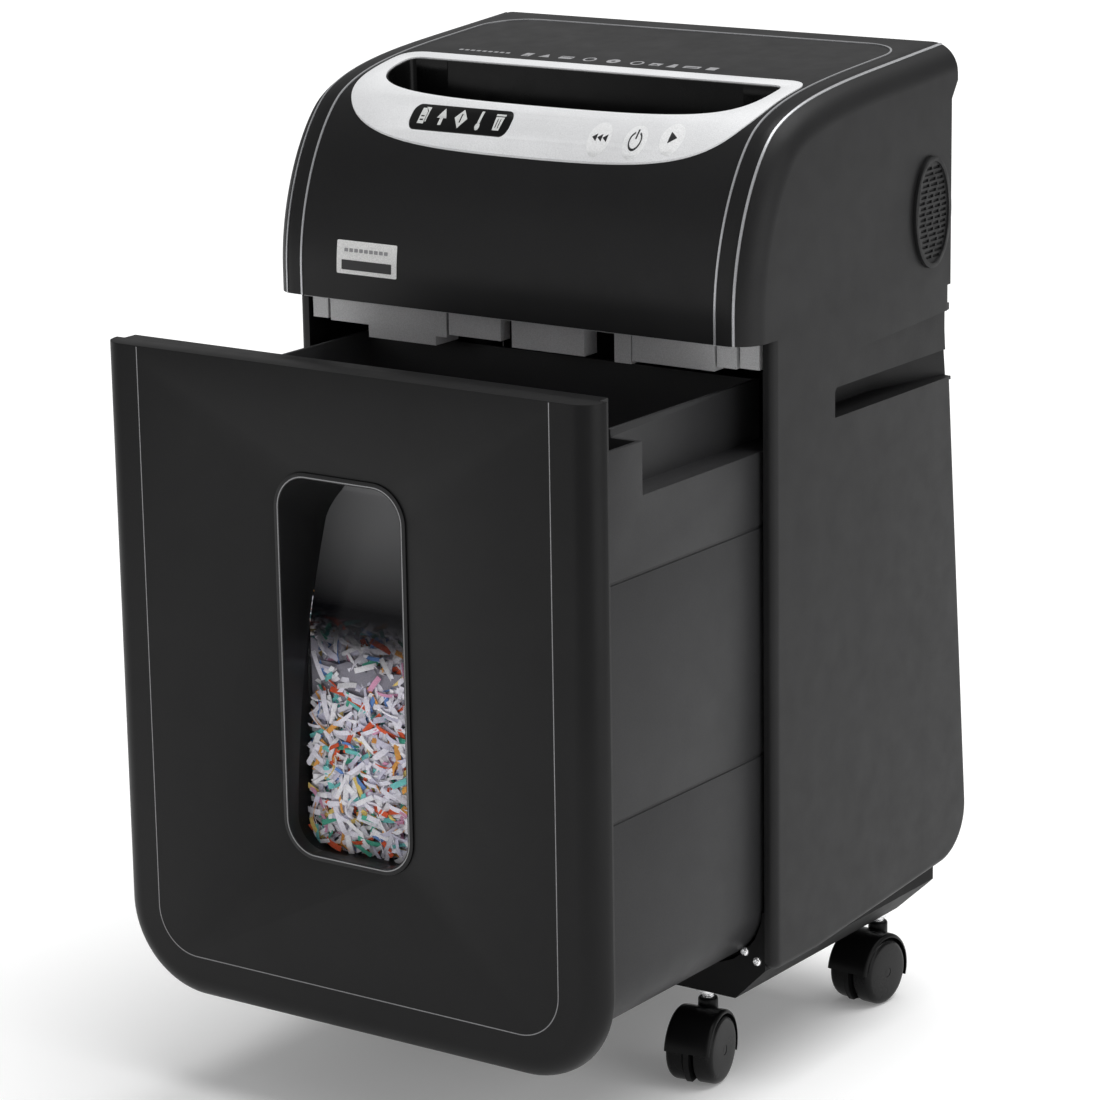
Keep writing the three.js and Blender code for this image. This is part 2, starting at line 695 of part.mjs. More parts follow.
// ---- Base tray, back panel and runners ----
function baseTray() {
  const side = INSIDE - GAP;
  const top = TRAY_FLOOR + TRAY_UPSTAND;
  const radius = BIN_FOOT_RADIUS + SLIDE_GAP;
  const inner = binHalf + SLIDE_GAP;
  const section = [
    [-side, top],
    [-side, BASE_BOTTOM + TRAY_CHAMFER],
    [-side + TRAY_CHAMFER, BASE_BOTTOM],
    [side - TRAY_CHAMFER, BASE_BOTTOM],
    [side, BASE_BOTTOM + TRAY_CHAMFER],
    [side, top],
  ];
  const roomTop = Math.max(top, TRAY_FLOOR + radius) + 9;
  const room = rounded([
    [-inner, roomTop],
    [-inner, TRAY_FLOOR, radius],
    [inner, TRAY_FLOOR, radius],
    [inner, roomTop],
  ]);
  const y0 = sideFront + 1;
  const y1 = BACK - 2;
  const block = prismY(section, y0, y1).subtract(prismY(room, y0 - 1, y1 + 1));
  const half = HALF - CASTER_SIDE_FRONT - 20;
  const pocketBack = y1 - WALL - TRAY_HEEL;
  const pocket = box(-half, half, y0 + WALL, pocketBack, BASE_BOTTOM - 1, TRAY_FLOOR - 4);
  const heel = prismX(
    [
      [y1 - TRAY_HEEL, BASE_BOTTOM - 1],
      [y1 + 1, BASE_BOTTOM - 1],
      [y1 + 1, BASE_BOTTOM + TRAY_HEEL * 2],
    ],
    -side - 1,
    side + 1,
  );
  return cut(block, pocket, heel, ...casterPlaces().map(([x, y]) => stemHole(x, y)));
}

function stemHole(x, y) {
  return cylinderZ(
    STEM_RADIUS + RUNNING_GAP,
    BASE_BOTTOM - 1,
    BASE_BOTTOM + STEM_IN_BASE + 1,
    x,
    y,
  );
}

function backPanel() {
  const side = INSIDE - GAP - 1;
  const foot = BASE_BOTTOM + SIDE_LIFT_BACK + BACK_FOOT_RADIUS * 0.7;
  const outline = [
    [BACK - 1, HEAD_BOTTOM - GAP],
    [BACK - 1, HEAD_BOTTOM - 30],
    [backFoot - 5, foot],
    [backFoot - 20, foot - 22],
    [BACK - 1, foot - 25],
    [BACK - 1, foot - 25 + WALL],
    [backFoot - 21, foot - 22 + WALL],
    [backFoot - 5 - WALL, foot + 1],
    [BACK - 1 - WALL, HEAD_BOTTOM - 30],
    [BACK - 1 - WALL, HEAD_BOTTOM - GAP],
  ];
  return prismX(outline, -side, side);
}

function binRunner() {
  const x = binHalf - BIN_FOOT_RADIUS - 28;
  const y0 = sideFront + 6;
  const y1 = BACK - 8;
  return box(x - 6, x + 6, y0, y1, TRAY_FLOOR + GAP / 3, TRAY_FLOOR + RUNNER_HEIGHT);
}

// ---- Bin, drawn closed: its group moves it out ----
const binHalf = INSIDE - SLIDE_GAP - 2;
const binBottom = TRAY_FLOOR + RUNNER_HEIGHT + GAP;
const panelTop = HEAD_BOTTOM - PANEL_TOP_GAP;
const panelBottom = BASE_BOTTOM + PANEL_LIFT;
const tubFront = FRONT + PANEL_DEPTH + GAP;
const tubBack = BACK - 1 - WALL - BIN_BACK_GAP;
const windowTop = HEAD_BOTTOM - WINDOW_TOP_DROP;
const windowBottom = windowTop - WINDOW_HEIGHT;

function windowOutline(outward) {
  const half = WINDOW_WIDTH / 2 + outward;
  return rectangle(
    -half,
    half,
    windowBottom - outward,
    windowTop + outward,
    WINDOW_RADIUS + outward,
  );
}

function panelOutline(smaller) {
  const half = HALF + PANEL_OVERHANG - smaller;
  const radius = PANEL_FOOT_RADIUS - smaller;
  return rounded([
    [-half, panelTop + BELOW],
    [-half, panelBottom + smaller, radius],
    [half, panelBottom + smaller, radius],
    [half, panelTop + BELOW],
  ]);
}

function binPanel() {
  const lip = PANEL_EDGE + 1; // depth of the rounded shell; the narrower body stands behind it
  const room = (y0, y1, top) => box(-WIDTH, WIDTH, y0, y1, 0, top);
  const face = (smaller, edge) =>
    pillow(panelOutline(smaller), -lip - edge - 20, -FRONT - smaller, edge, 4, ALONG_Y);
  const shell = face(0, PANEL_EDGE).intersect(room(FRONT - 1, FRONT + lip, panelTop));
  const body = prismY(panelOutline(6), FRONT + lip - 4, FRONT + PANEL_DEPTH).intersect(
    room(FRONT, BACK, panelTop),
  );
  const behindFace = face(WALL + 1, PANEL_EDGE - WALL).intersect(
    room(FRONT, FRONT + lip - WALL, panelTop),
  );
  const hollow = prismY(panelOutline(6 + WALL), FRONT + lip - WALL - 2, FRONT + PANEL_DEPTH + 1)
    .add(behindFace)
    .intersect(room(FRONT, BACK, panelTop - WALL));
  const rim = prismY(windowOutline(WINDOW_WALL + GAP + WALL), FRONT + 2, FRONT + PANEL_DEPTH);
  const hole = prismY(windowOutline(WINDOW_WALL + GAP), FRONT - 1, FRONT + PANEL_DEPTH + 1);
  return shell.add(body).subtract(hollow).add(rim).subtract(hole);
}

// How far the pane lies behind the panel's face, from its foot to its top.
function paneOutline(front, back) {
  const path = new THREE.Path();
  path.moveTo(FRONT + PANE_FOOT_DEPTH, windowBottom - 9);
  path.lineTo(FRONT + PANE_FOOT_DEPTH, windowBottom);
  path.bezierCurveTo(
    FRONT + PANE_FOOT_DEPTH + 3,
    windowBottom + 0.33 * WINDOW_HEIGHT,
    FRONT + 0.42 * PANE_TOP_DEPTH,
    windowBottom + 0.6 * WINDOW_HEIGHT,
    FRONT + PANE_TOP_DEPTH,
    windowTop - 0.08 * WINDOW_HEIGHT,
  );
  path.lineTo(FRONT + PANE_TOP_DEPTH, windowTop + 9);
  const line = path.getPoints(10).map((point) => [point.x, point.y]);
  const ahead = line.map(([y, z]) => [y + front, z]);
  const behind = line.map(([y, z]) => [y + back, z]).reverse();
  return ahead.concat(behind);
}

function windowFrame() {
  const far = FRONT + PANE_TOP_DEPTH + 9;
  const opening = prismY(windowOutline(0), FRONT - 9, far + 9);
  const ring = prismY(windowOutline(WINDOW_WALL), FRONT - 0.6, far);
  const ahead = prismX(paneOutline(-2 * PANE_TOP_DEPTH, PANE_WALL + 1.5), -HALF, HALF);
  const flange = prismY(windowOutline(WINDOW_WALL + WINDOW_FLANGE), FRONT - 0.6, FRONT - GAP);
  return ring.intersect(ahead).add(flange).subtract(opening);
}

const windowPane = () =>
  prismX(paneOutline(0, PANE_WALL), -HALF, HALF).intersect(
    prismY(windowOutline(-GAP), FRONT, FRONT + PANE_TOP_DEPTH + 19),
  );

function binTub() {
  const shoulder = HEAD_BOTTOM - BIN_SHOULDER;
  const top = HEAD_BOTTOM - BIN_TOP_DROP;
  const collarTop = HEAD_BOTTOM - COLLAR_DROP;
  const neck = binHalf - BIN_STEP;
  const trough = (smaller, upTo) =>
    rounded([
      [-binHalf + smaller, upTo],
      [-binHalf + smaller, binBottom + smaller, BIN_FOOT_RADIUS - smaller],
      [binHalf - smaller, binBottom + smaller, BIN_FOOT_RADIUS - smaller],
      [binHalf - smaller, upTo],
    ]);
  const upper = (half, y1, z1, smaller) =>
    box(
      -half + smaller,
      half - smaller,
      tubFront + smaller,
      y1 - smaller,
      shoulder - BIN_STEP,
      z1,
    );
  const body = (smaller, rise) =>
    join(
      prismY(trough(smaller, shoulder - smaller), tubFront + smaller, tubBack - smaller),
      upper(neck, tubBack, top + rise, smaller),
      upper(binHalf, tubFront + COLLAR_DEPTH, collarTop + rise, smaller),
    );
  const opening = prismY(windowOutline(WINDOW_WALL + GAP), tubFront - 1, tubFront + BIN_WALL + 1);
  const grooves = GROOVES.flatMap((drop) =>
    [-1, 1].map((side) =>
      box(
        Math.min(side * (binHalf - 0.8), side * (binHalf + 1)),
        Math.max(side * (binHalf - 0.8), side * (binHalf + 1)),
        tubFront - 1,
        tubBack + 1,
        HEAD_BOTTOM - drop - 1.2,
        HEAD_BOTTOM - drop + 1.2,
      ),
    ),
  );
  return cut(body(0, 0), body(BIN_WALL, BELOW), opening, ...grooves);
}

// ---- Cutting gear ----
const shaftZ = HEAD_BOTTOM + SHAFT_RISE;
const frontShaftY = throatY - SHAFT_SPACING / 2;
const rearShaftY = throatY + SHAFT_SPACING / 2;
const pitchRadius = (teeth) => (teeth * GEAR_MODULE) / 2;
const radians = THREE.MathUtils.degToRad;
const idlerReach = pitchRadius(DRIVE_TEETH + IDLER_TEETH);
const idlerY = rearShaftY + idlerReach * Math.cos(radians(IDLER_ANGLE));
const idlerZ = shaftZ + idlerReach * Math.sin(radians(IDLER_ANGLE));
const pinionReach = pitchRadius(IDLER_TEETH + PINION_TEETH);
const motorY = idlerY + pinionReach * Math.cos(radians(PINION_ANGLE));
const motorZ = idlerZ + pinionReach * Math.sin(radians(PINION_ANGLE));
const outerFace = CUTTER_HALF + CUTTER_PLATE;
const gearFrom = outerFace + 3;
const gearTo = gearFrom + GEAR_WIDTH;

// A shaft with its discs along X, round the axis. The other shaft's discs run in its gaps.
function cutter(shift, reachLeft, reachRight) {
  const profile = [
    [0, -reachLeft],
    [JOURNAL_RADIUS, -reachLeft],
    [JOURNAL_RADIUS, -CUTTER_HALF + 2],
    [SHAFT_RADIUS, -CUTTER_HALF + 2],
  ];
  for (let k = 0; k < DISC_COUNT; k++) {
    const x = (k - (DISC_COUNT - 1) / 2) * DISC_PITCH + shift;
    const half = DISC_THICKNESS / 2;
    profile.push([SHAFT_RADIUS, x - half], [DISC_RADIUS, x - half], [DISC_RADIUS, x + half]);
    profile.push([SHAFT_RADIUS, x + half]);
  }
  profile.push([SHAFT_RADIUS, CUTTER_HALF - 2], [JOURNAL_RADIUS, CUTTER_HALF - 2]);
  profile.push([JOURNAL_RADIUS, reachRight], [0, reachRight]);
  return turnedX(profile, 14);
}

// A spur gear round the X axis. At turn 0 a tooth points along +Y.
function gear(teeth, from, to, bore, turn) {
  const radius = pitchRadius(teeth);
  const outline = [];
  const tip = radius + 0.8 * GEAR_MODULE;
  const root = radius - 1.1 * GEAR_MODULE;
  const step = (2 * Math.PI) / teeth;
  for (let k = 0; k < teeth; k++) {
    const corners = [
      [root, -0.31],
      [tip, -0.1],
      [tip, 0.1],
      [root, 0.31],
    ];
    for (const [r, part] of corners) {
      const angle = radians(turn) + (k + part) * step;
      outline.push([r * Math.cos(angle), r * Math.sin(angle)]);
    }
  }
  return prismX(outline, from, to).subtract(cylinderX(bore, from - 1, to + 1, 0, 0, 20));
}

function cutterPlate(side) {
  const x0 = side > 0 ? CUTTER_HALF : -outerFace;
  const back = motorY + MOTOR_RADIUS - 4;
  const foot = HEAD_BOTTOM + PLATE_FOOT;
  const outline = rounded([
    [frontShaftY - 34, foot],
    [back, foot],
    [back, shaftZ + 24, 8],
    [frontShaftY - 34, shaftZ + 24, 20],
  ]);
  const plate = prismX(outline, x0, x0 + CUTTER_PLATE);
  const holes = [
    [JOURNAL_RADIUS, frontShaftY, shaftZ],
    [JOURNAL_RADIUS, rearShaftY, shaftZ],
  ];
  if (side > 0) {
    holes.push([JOURNAL_RADIUS, motorY, motorZ], [STUB_RADIUS, idlerY, idlerZ]);
  }
  return cut(
    plate,
    ...holes.map(([radius, y, z]) =>
      cylinderX(radius + RUNNING_GAP, x0 - 1, x0 + CUTTER_PLATE + 1, y, z),
    ),
  );
}

function stripperComb(side) {
  const shaftY = side < 0 ? frontShaftY : rearShaftY;
  const shift = side < 0 ? -DISC_PITCH / 4 : DISC_PITCH / 4;
  const near = shaftY + side * (SHAFT_RADIUS + 1.5);
  const far = shaftY + side * (DISC_RADIUS + 7);
  const backing = shaftY + side * (DISC_RADIUS + 2);
  const low = shaftZ - 12;
  const bar = box(
    -CUTTER_HALF + GAP,
    CUTTER_HALF - GAP,
    Math.min(backing, far),
    Math.max(backing, far),
    low,
    low + 10,
  );
  const fingers = [];
  for (let k = 0; k < DISC_COUNT - 1; k++) {
    const x = (k + 1 - DISC_COUNT / 2) * DISC_PITCH + shift;
    fingers.push(
      box(x - 2.5, x + 2.5, Math.min(near, backing) - 1, Math.max(near, backing) + 1, low, low + 10),
    );
  }
  return join(bar, ...fingers);
}

const gearboxFrom = CUTTER_HALF - GEARBOX_LENGTH;

function motor() {
  const left = -CUTTER_HALF + MOTOR_LEFT;
  const can = cylinderX(MOTOR_RADIUS, left, gearboxFrom, motorY, motorZ, 28);
  const neck = cylinderX(9, left - 9, left, motorY, motorZ);
  return can.add(neck);
}

function gearbox() {
  const half = MOTOR_RADIUS - 2;
  const block = box(
    gearboxFrom + GAP,
    CUTTER_HALF - GAP,
    idlerY + STUB_RADIUS + STUB_CLEARANCE,
    motorY + half,
    motorZ - half,
    motorZ + half,
  );
  const bore = cylinderX(
    JOURNAL_RADIUS + RUNNING_GAP,
    gearboxFrom + 30,
    CUTTER_HALF + 1,
    motorY,
    motorZ,
  );
  return block.subtract(bore);
}

// ---- Casters, drawn round the swivel's line at the floor, trailing along -Y ----
const stemFoot = 2 * WHEEL_RADIUS + FENDER_GAP + 0.8; // stays above the wheels

function casterHood() {
  const outer = WHEEL_RADIUS + FENDER_GAP + FENDER_WALL;
  const inner = WHEEL_RADIUS + FENDER_GAP;
  const half = WHEEL_SPLIT / 2 + WHEEL_WIDTH - 1;
  const z = WHEEL_RADIUS;
  const y = -CASTER_TRAIL;
  const disc = cylinderX(outer, -half, half, y, z, 28);
  const hollow = cylinderX(inner, -half - 1, half + 1, y, z, 28);
  const web = cylinderX(outer - 0.5, -WHEEL_SPLIT / 2 + 0.5, WHEEL_SPLIT / 2 - 0.5, y, z, 28);
  const room = prismX(
    [
      [y - outer - 1, z + 4],
      [y + outer - 6, z - 8],
      [y + outer + 1, z - 8],
      [y + outer + 1, z + outer + 9],
      [y - outer - 1, z + outer + 9],
    ],
    -half - 1,
    half + 1,
  );
  const webRoom = box(-half, half, y - outer, y + outer, 5, z + outer);
  const neck = cylinderZ(STEM_RADIUS + 2.4, z + 8, HOOD_TOP + SOCKET_RISE, 0, 0, 20);
  const socket = neck.subtract(hollow);
  const hood = join(
    disc.subtract(hollow).intersect(room),
    web.intersect(webRoom),
    socket,
  );
  const axleHole = cylinderX(AXLE_RADIUS + RUNNING_GAP, -half, half, y, z);
  const stemSeat = cylinderZ(STEM_RADIUS + RUNNING_GAP, stemFoot - GAP, HOOD_TOP + 9, 0, 0, 20);
  return cut(hood, axleHole, stemSeat);
}

function casterStem() {
  const shaft = cylinderZ(STEM_RADIUS, stemFoot, BASE_BOTTOM + STEM_IN_BASE, 0, 0, 16);
  const collar = cylinderZ(STEM_RADIUS + 3.5, BASE_BOTTOM - 3.5, BASE_BOTTOM - GAP, 0, 0, 20);
  return shaft.add(collar);
}

const wheelOuter = WHEEL_SPLIT / 2 + WHEEL_WIDTH;

const casterAxle = () =>
  cylinderX(AXLE_RADIUS, -wheelOuter + 3, wheelOuter - 3, -CASTER_TRAIL, WHEEL_RADIUS);

function casterWheel() {
  const x0 = WHEEL_SPLIT / 2;
  const bore = AXLE_RADIUS + RUNNING_GAP;
  const profile = [
    [bore, x0],
    [WHEEL_RADIUS - 2, x0],
    [WHEEL_RADIUS, x0 + 2],
    [WHEEL_RADIUS, wheelOuter - 4],
    [WHEEL_RADIUS - 3, wheelOuter - 0.8],
    [WHEEL_RADIUS - 8, wheelOuter],
    [0, wheelOuter],
    [0, wheelOuter - 2.6],
    [bore, wheelOuter - 2.6],
    [bore, x0],
  ];
  return turnedX(profile, 26);
}

function casterPlaces() {
  const front = sideFront + CASTER_INSET_FRONT;
  const back = BACK - CASTER_INSET_BACK;
  const frontX = HALF - CASTER_SIDE_FRONT;
  const rearX = HALF - CASTER_SIDE_REAR;
  return [
    [-frontX, front, "front_left", FRONT_TURN],
    [frontX, front, "front_right", -FRONT_TURN],
    [-rearX, back, "rear_left", REAR_TURN],
    [rearX, back, "rear_right", -REAR_TURN],
  ];
}

// ---- Assembly ----
const shredder = new THREE.Group();

function add(parent, name, shape, finish) {
  parent.add(mesh(name, shape, finish));
}

function addPair(parent, name, shape, finish) {
  add(parent, name + "_right", shape, finish);
  add(parent, name + "_left", mirrored(shape), finish);
}

function groupAt(parent, x, y, z) {
  const group = new THREE.Group();
  group.position.set(x, y, z);
  parent.add(group);
  return group;
}

// The origin is on the floor under the middle of the whole object, with the bin standing out.
const foremost = FRONT - BIN_PULL;
const body = groupAt(shredder, 0, -(foremost + sideBackmost()) / 2, 0);

// The back foot is rounded, so the side panel's backmost point lies a little inside its corner.
function sideBackmost() {
  return Math.max(...sideOutline().map(([y]) => y));
}

add(body, "base_tray", baseTray(), "inner");
addPair(body, "side_panel", sidePanel(), "side");
add(body, "back_panel", backPanel(), "inner");
addPair(body, "bin_runner", binRunner(), "grey");
add(body, "head_cover", headCover(), "black");
add(body, "head_rim", headRim(), "black");
add(body, "cover_trim", innerTrim(), "silver");
addPair(body, "side_trim", outerTrim(), "silver");
add(body, "control_fascia", controlFascia(), "silver");
add(body, "indicator_window", indicatorWindow(), "black");
add(body, "paper_funnel", paperFunnel(), "black");
add(body, "head_underframe", headUnderframe(), "grey");
addPair(body, "vent_grille", ventGrille(), "side");
add(body, "cord_gland", cordGland(), "rubber");
add(body, "switch_frame", switchFrame(), "inner");
add(
  body,
  "control_board",
  box(-96, 112, FRONT + 18, FRONT + 40, HEAD_BOTTOM + 70, HEAD_BOTTOM + 71.6),
  "board",
);
add(
  body,
  "bin_sensor",
  box(HALF - 24, HALF - 12, FRONT + 50, FRONT + 70, HEAD_BOTTOM - 22, HEAD_BOTTOM - 2),
  "inner",
);

const rockerGroup = groupAt(body, SWITCH_X, BACK - 1, POWER_Z);
rockerGroup.rotation.x = radians(ROCKER_SWING);
add(rockerGroup, "power_rocker", rocker(), "black");

add(body, "cutter_plate_right", cutterPlate(1), "steel");
add(body, "cutter_plate_left", cutterPlate(-1), "steel");
add(body, "stripper_comb_front", stripperComb(-1), "steel");
add(body, "stripper_comb_rear", stripperComb(1), "steel");
add(body, "motor", motor(), "steel");
add(body, "gearbox", gearbox(), "inner");

const frontCutter = groupAt(body, 0, frontShaftY, shaftZ);
const rearCutter = groupAt(body, 0, rearShaftY, shaftZ);
const timingBore = JOURNAL_RADIUS + RUNNING_GAP;
add(frontCutter, "cutter_front", cutter(-DISC_PITCH / 4, gearTo, outerFace + 1), "steel");
add(rearCutter, "cutter_rear", cutter(DISC_PITCH / 4, gearTo, gearTo), "steel");
const leftGear = (turn) => gear(TIMING_TEETH, -gearTo, -gearFrom, timingBore, turn);
add(frontCutter, "timing_gear_front", leftGear(0), "steel");
add(rearCutter, "timing_gear_rear", leftGear(180 / TIMING_TEETH), "steel");

// Each gear is turned so that its teeth stand in the other's gaps.
function meshedTurn(teeth, lineAngle, otherTeeth, otherTurn) {
  const otherStep = 360 / otherTeeth;
  const phase = (lineAngle - otherTurn) / otherStep;
  const ownStep = 360 / teeth;
  return lineAngle + 180 + (phase + 0.5) * ownStep;
}
const driveTurn = 0;
const idlerTurn = meshedTurn(IDLER_TEETH, IDLER_ANGLE, DRIVE_TEETH, driveTurn);
const pinionTurn = meshedTurn(PINION_TEETH, PINION_ANGLE, IDLER_TEETH, idlerTurn);
add(
  rearCutter,
  "drive_gear",
  gear(DRIVE_TEETH, gearFrom, gearTo, timingBore, driveTurn),
  "steel",
);
const idler = groupAt(body, 0, idlerY, idlerZ);
const idlerGear = gear(IDLER_TEETH, gearFrom, gearTo, 1, idlerTurn);
const idlerStub = cylinderX(STUB_RADIUS, CUTTER_HALF - 3, gearFrom + 2, 0, 0);
add(idler, "idler_gear", idlerGear.add(idlerStub), "steel");
const pinion = groupAt(body, 0, motorY, motorZ);
const pinionGear = gear(PINION_TEETH, gearFrom, gearTo, 1, pinionTurn);
const pinionShaft = cylinderX(JOURNAL_RADIUS, gearboxFrom + 35, gearFrom + 2, 0, 0);
add(pinion, "motor_pinion", pinionGear.add(pinionShaft), "steel");

const bin = groupAt(body, 0, -BIN_PULL, 0);
add(bin, "bin_tub", binTub(), "side");
add(bin, "bin_front_panel", binPanel(), "black");
add(bin, "window_frame", windowFrame(), "black");
add(bin, "window_pane", windowPane(), "glass");

for (const [x, y, place, turn] of casterPlaces()) {
  const caster = groupAt(body, x, y, 0);
  caster.rotation.z = radians(turn);
  add(caster, "caster_stem_" + place, casterStem(), "chrome");
  add(caster, "caster_hood_" + place, casterHood(), "rubber");
  add(caster, "caster_axle_" + place, casterAxle(), "steel");
  const axleLine = groupAt(caster, 0, -CASTER_TRAIL, WHEEL_RADIUS);
  add(axleLine, "caster_wheel_a_" + place, casterWheel(), "rubber");
  add(axleLine, "caster_wheel_b_" + place, mirrored(casterWheel()), "rubber");
}

export default shredder;
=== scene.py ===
# Pedestal paper shredder on casters, with its bin drawn out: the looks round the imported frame.
import math
import random

import bmesh
import bpy
from mathutils import Matrix, Vector


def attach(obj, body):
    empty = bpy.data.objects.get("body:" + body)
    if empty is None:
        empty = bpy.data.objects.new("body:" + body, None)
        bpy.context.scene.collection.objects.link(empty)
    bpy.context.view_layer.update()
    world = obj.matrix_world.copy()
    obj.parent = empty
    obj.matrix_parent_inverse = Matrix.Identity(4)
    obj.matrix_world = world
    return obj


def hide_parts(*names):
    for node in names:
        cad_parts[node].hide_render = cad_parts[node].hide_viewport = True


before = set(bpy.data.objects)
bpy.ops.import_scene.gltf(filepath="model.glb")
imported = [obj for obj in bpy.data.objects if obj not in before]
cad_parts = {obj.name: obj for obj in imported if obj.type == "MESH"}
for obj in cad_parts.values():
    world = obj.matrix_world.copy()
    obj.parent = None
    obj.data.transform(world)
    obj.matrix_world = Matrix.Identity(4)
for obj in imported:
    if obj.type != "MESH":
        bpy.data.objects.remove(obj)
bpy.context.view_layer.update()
bpy.ops.object.select_all(action="DESELECT")
random.seed(7)

# ---- Sizes of the part, in millimetres before the cabinet's shift along Y ----
MM = 0.001
SHIFT = 69.003045
GAP = 0.3
WALL = 3.0
HALF = 180.0
INSIDE = 172.0
FRONT = -119.0
BACK = 119.0
BASE_BOTTOM = 58.5
HEAD_BOTTOM = 479.5
HEAD_TOP = 631.5
HEAD_LIP = 7.5
LIP_HEIGHT = 31.0
TOP_SLOPE = 0.075
HEAD_EDGE = 18.0
BELOW = 60.0
ABOVE = HEAD_TOP + 20
WIDE = 200.0  # past both sides
LINE = 1.3
SLIT = 0.15  # between a silver line and the piece beside it
COVER_HALF = HALF - 24.5
COVER_BACK = BACK - 12
COVER_CORNER = 30.0
SIDE_LINE = HALF - 12
GLAND = (-108.0, BACK - 15, HEAD_BOTTOM + 30)
GLAND_HOLE = 9.3
SWITCH_X = -144.0
SWITCH_Z = HEAD_BOTTOM + 30
SWITCH_ROOM = (10.3, 13.8)
FASCIA_HALF = HALF - 28
ENTRY_HALF = FASCIA_HALF - 11
ENTRY_FRONT = FRONT + 48.5
ENTRY_BACK = FRONT + 103
INDICATOR = (-54.0, FRONT + 36)
INDICATOR_HALF = (38.0, 6.5)
THROAT_HALF = ENTRY_HALF - 29
THROAT_Y = FRONT + 98
BIN_OUT = 166.0
PANEL_TOP = 476.5
PANEL_BOTTOM = 63.5
WINDOW_HALF = 45.0
WINDOW_TOP = 410.0
WINDOW_BOTTOM = 177.0
PANE_DEPTH = 50.0
WHEEL_RADIUS = 22.0
CASTER_TRAIL = 12.0
CASTERS = {
    "front_left": (-123, -81, -10),
    "front_right": (123, -81, 10),
    "rear_left": (-141, 98, 4),
    "rear_right": (141, 98, -4),
}


# ---- Mesh helpers ----
def added(name, data):
    """A new object in the scene."""
    made = bpy.data.objects.new(name, data)
    bpy.context.scene.collection.objects.link(made)
    return made


def build(name, points, faces, shift=SHIFT):
    """A mesh object from points in millimetres, with its faces turned outwards."""
    mesh = bpy.data.meshes.new(name)
    mesh.from_pydata([Vector((x, y + shift, z)) * MM for x, y, z in points], [], faces)
    form = bmesh.new()
    form.from_mesh(mesh)
    bmesh.ops.remove_doubles(form, verts=form.verts, dist=1e-7)
    bmesh.ops.recalc_face_normals(form, faces=form.faces)
    form.to_mesh(mesh)
    form.free()
    return added(name, mesh)


def apply_modifier(piece, kind, **settings):
    modifier = piece.modifiers.new(kind.title(), kind)
    for key, value in settings.items():
        setattr(modifier, key, value)
    bpy.context.view_layer.objects.active = piece
    bpy.ops.object.modifier_apply(modifier=modifier.name)
    return piece


def combine(piece, operation, *tools):
    """The piece cut by, kept inside, or joined with each tool, which is then removed."""
    for tool in tools:
        apply_modifier(piece, "BOOLEAN", operation=operation, object=tool, solver="MANIFOLD")
        bpy.data.objects.remove(tool)
    return piece


def cut(piece, *tools):
    return combine(piece, "DIFFERENCE", *tools)


def keep(piece, *tools):
    return combine(piece, "INTERSECT", *tools)


def join(piece, *others):
    return combine(piece, "UNION", *others)


PLACES = {
    "X": lambda a, b, t: (t, a, b),
    "Y": lambda a, b, t: (a, t, b),
    "Z": lambda a, b, t: (a, b, t),
}


def prism(axis, outline, start, end, shift=SHIFT):
    """A closed prism along an axis from a flat outline."""
    at = PLACES[axis]
    count = len(outline)
    points = [at(a, b, start) for a, b in outline] + [at(a, b, end) for a, b in outline]
    faces = [tuple(range(count)), tuple(range(2 * count - 1, count - 1, -1))]
    faces += [(i, (i + 1) % count, count + (i + 1) % count, count + i) for i in range(count)]
    return build("form", points, faces, shift)


def box(x0, x1, y0, y1, z0, z1, shift=SHIFT):
    return prism("Z", [(x0, y0), (x1, y0), (x1, y1), (x0, y1)], z0, z1, shift)


def rounded(points, steps=14):
    """An outline whose points are (a, b) or (a, b, radius)."""
    outline = []
    for i, point in enumerate(points):
        if len(point) == 2 or not point[2]:
            outline.append(tuple(point[:2]))
            continue
        corner = Vector(point[:2])
        before = (Vector(points[i - 1][:2]) - corner).normalized()
        after = (Vector(points[(i + 1) % len(points)][:2]) - corner).normalized()
        half = math.acos(max(-1, min(1, before.dot(after)))) / 2
        centre = corner + (before + after).normalized() * (point[2] / math.sin(half))
        reach = point[2] / math.tan(half)
        start = corner + before * reach - centre
        end = corner + after * reach - centre
        first = math.atan2(start.y, start.x)
        turn = math.atan2(end.y, end.x) - first
        turn = (turn + math.pi) % (2 * math.pi) - math.pi
        for k in range(steps + 1):
            angle = first + turn * k / steps
            spot = (centre.x + point[2] * math.cos(angle), centre.y + point[2] * math.sin(angle))
            outline.append(spot)
    return outline


def rectangle(a0, a1, b0, b1, radius=0, steps=10):
    corners = [(a0, b0, radius), (a1, b0, radius), (a1, b1, radius), (a0, b1, radius)]
    return rounded(corners, steps)


def inset(outline, distance):
    """The outline moved inwards, or outwards for a negative distance."""
    count = len(outline)
    area = sum(
        outline[i - 1][0] * outline[i][1] - outline[i][0] * outline[i - 1][1]
        for i in range(count)
    )
    side = math.copysign(distance, area * distance) if distance else 0
    moved = []
    for i in range(count):
        here = Vector(outline[i])
        one = (here - Vector(outline[i - 1])).normalized()
        two = (Vector(outline[(i + 1) % count]) - here).normalized()
        normal = Vector((-one.y - two.y, one.x + two.x)).normalized()
        stretch = 1 / max(0.3, -one.y * normal.x + one.x * normal.y)
        moved.append(tuple(here + normal * (side * stretch)))
    return moved


def oval(x, y, wide, tall, count=28):
    """An oval by its two half widths."""
    angles = [2 * math.pi * k / count for k in range(count)]
    return [(x + wide * math.cos(angle), y + tall * math.sin(angle)) for angle in angles]


def circle(x, y, radius, count=28):
    return oval(x, y, radius, radius, count)


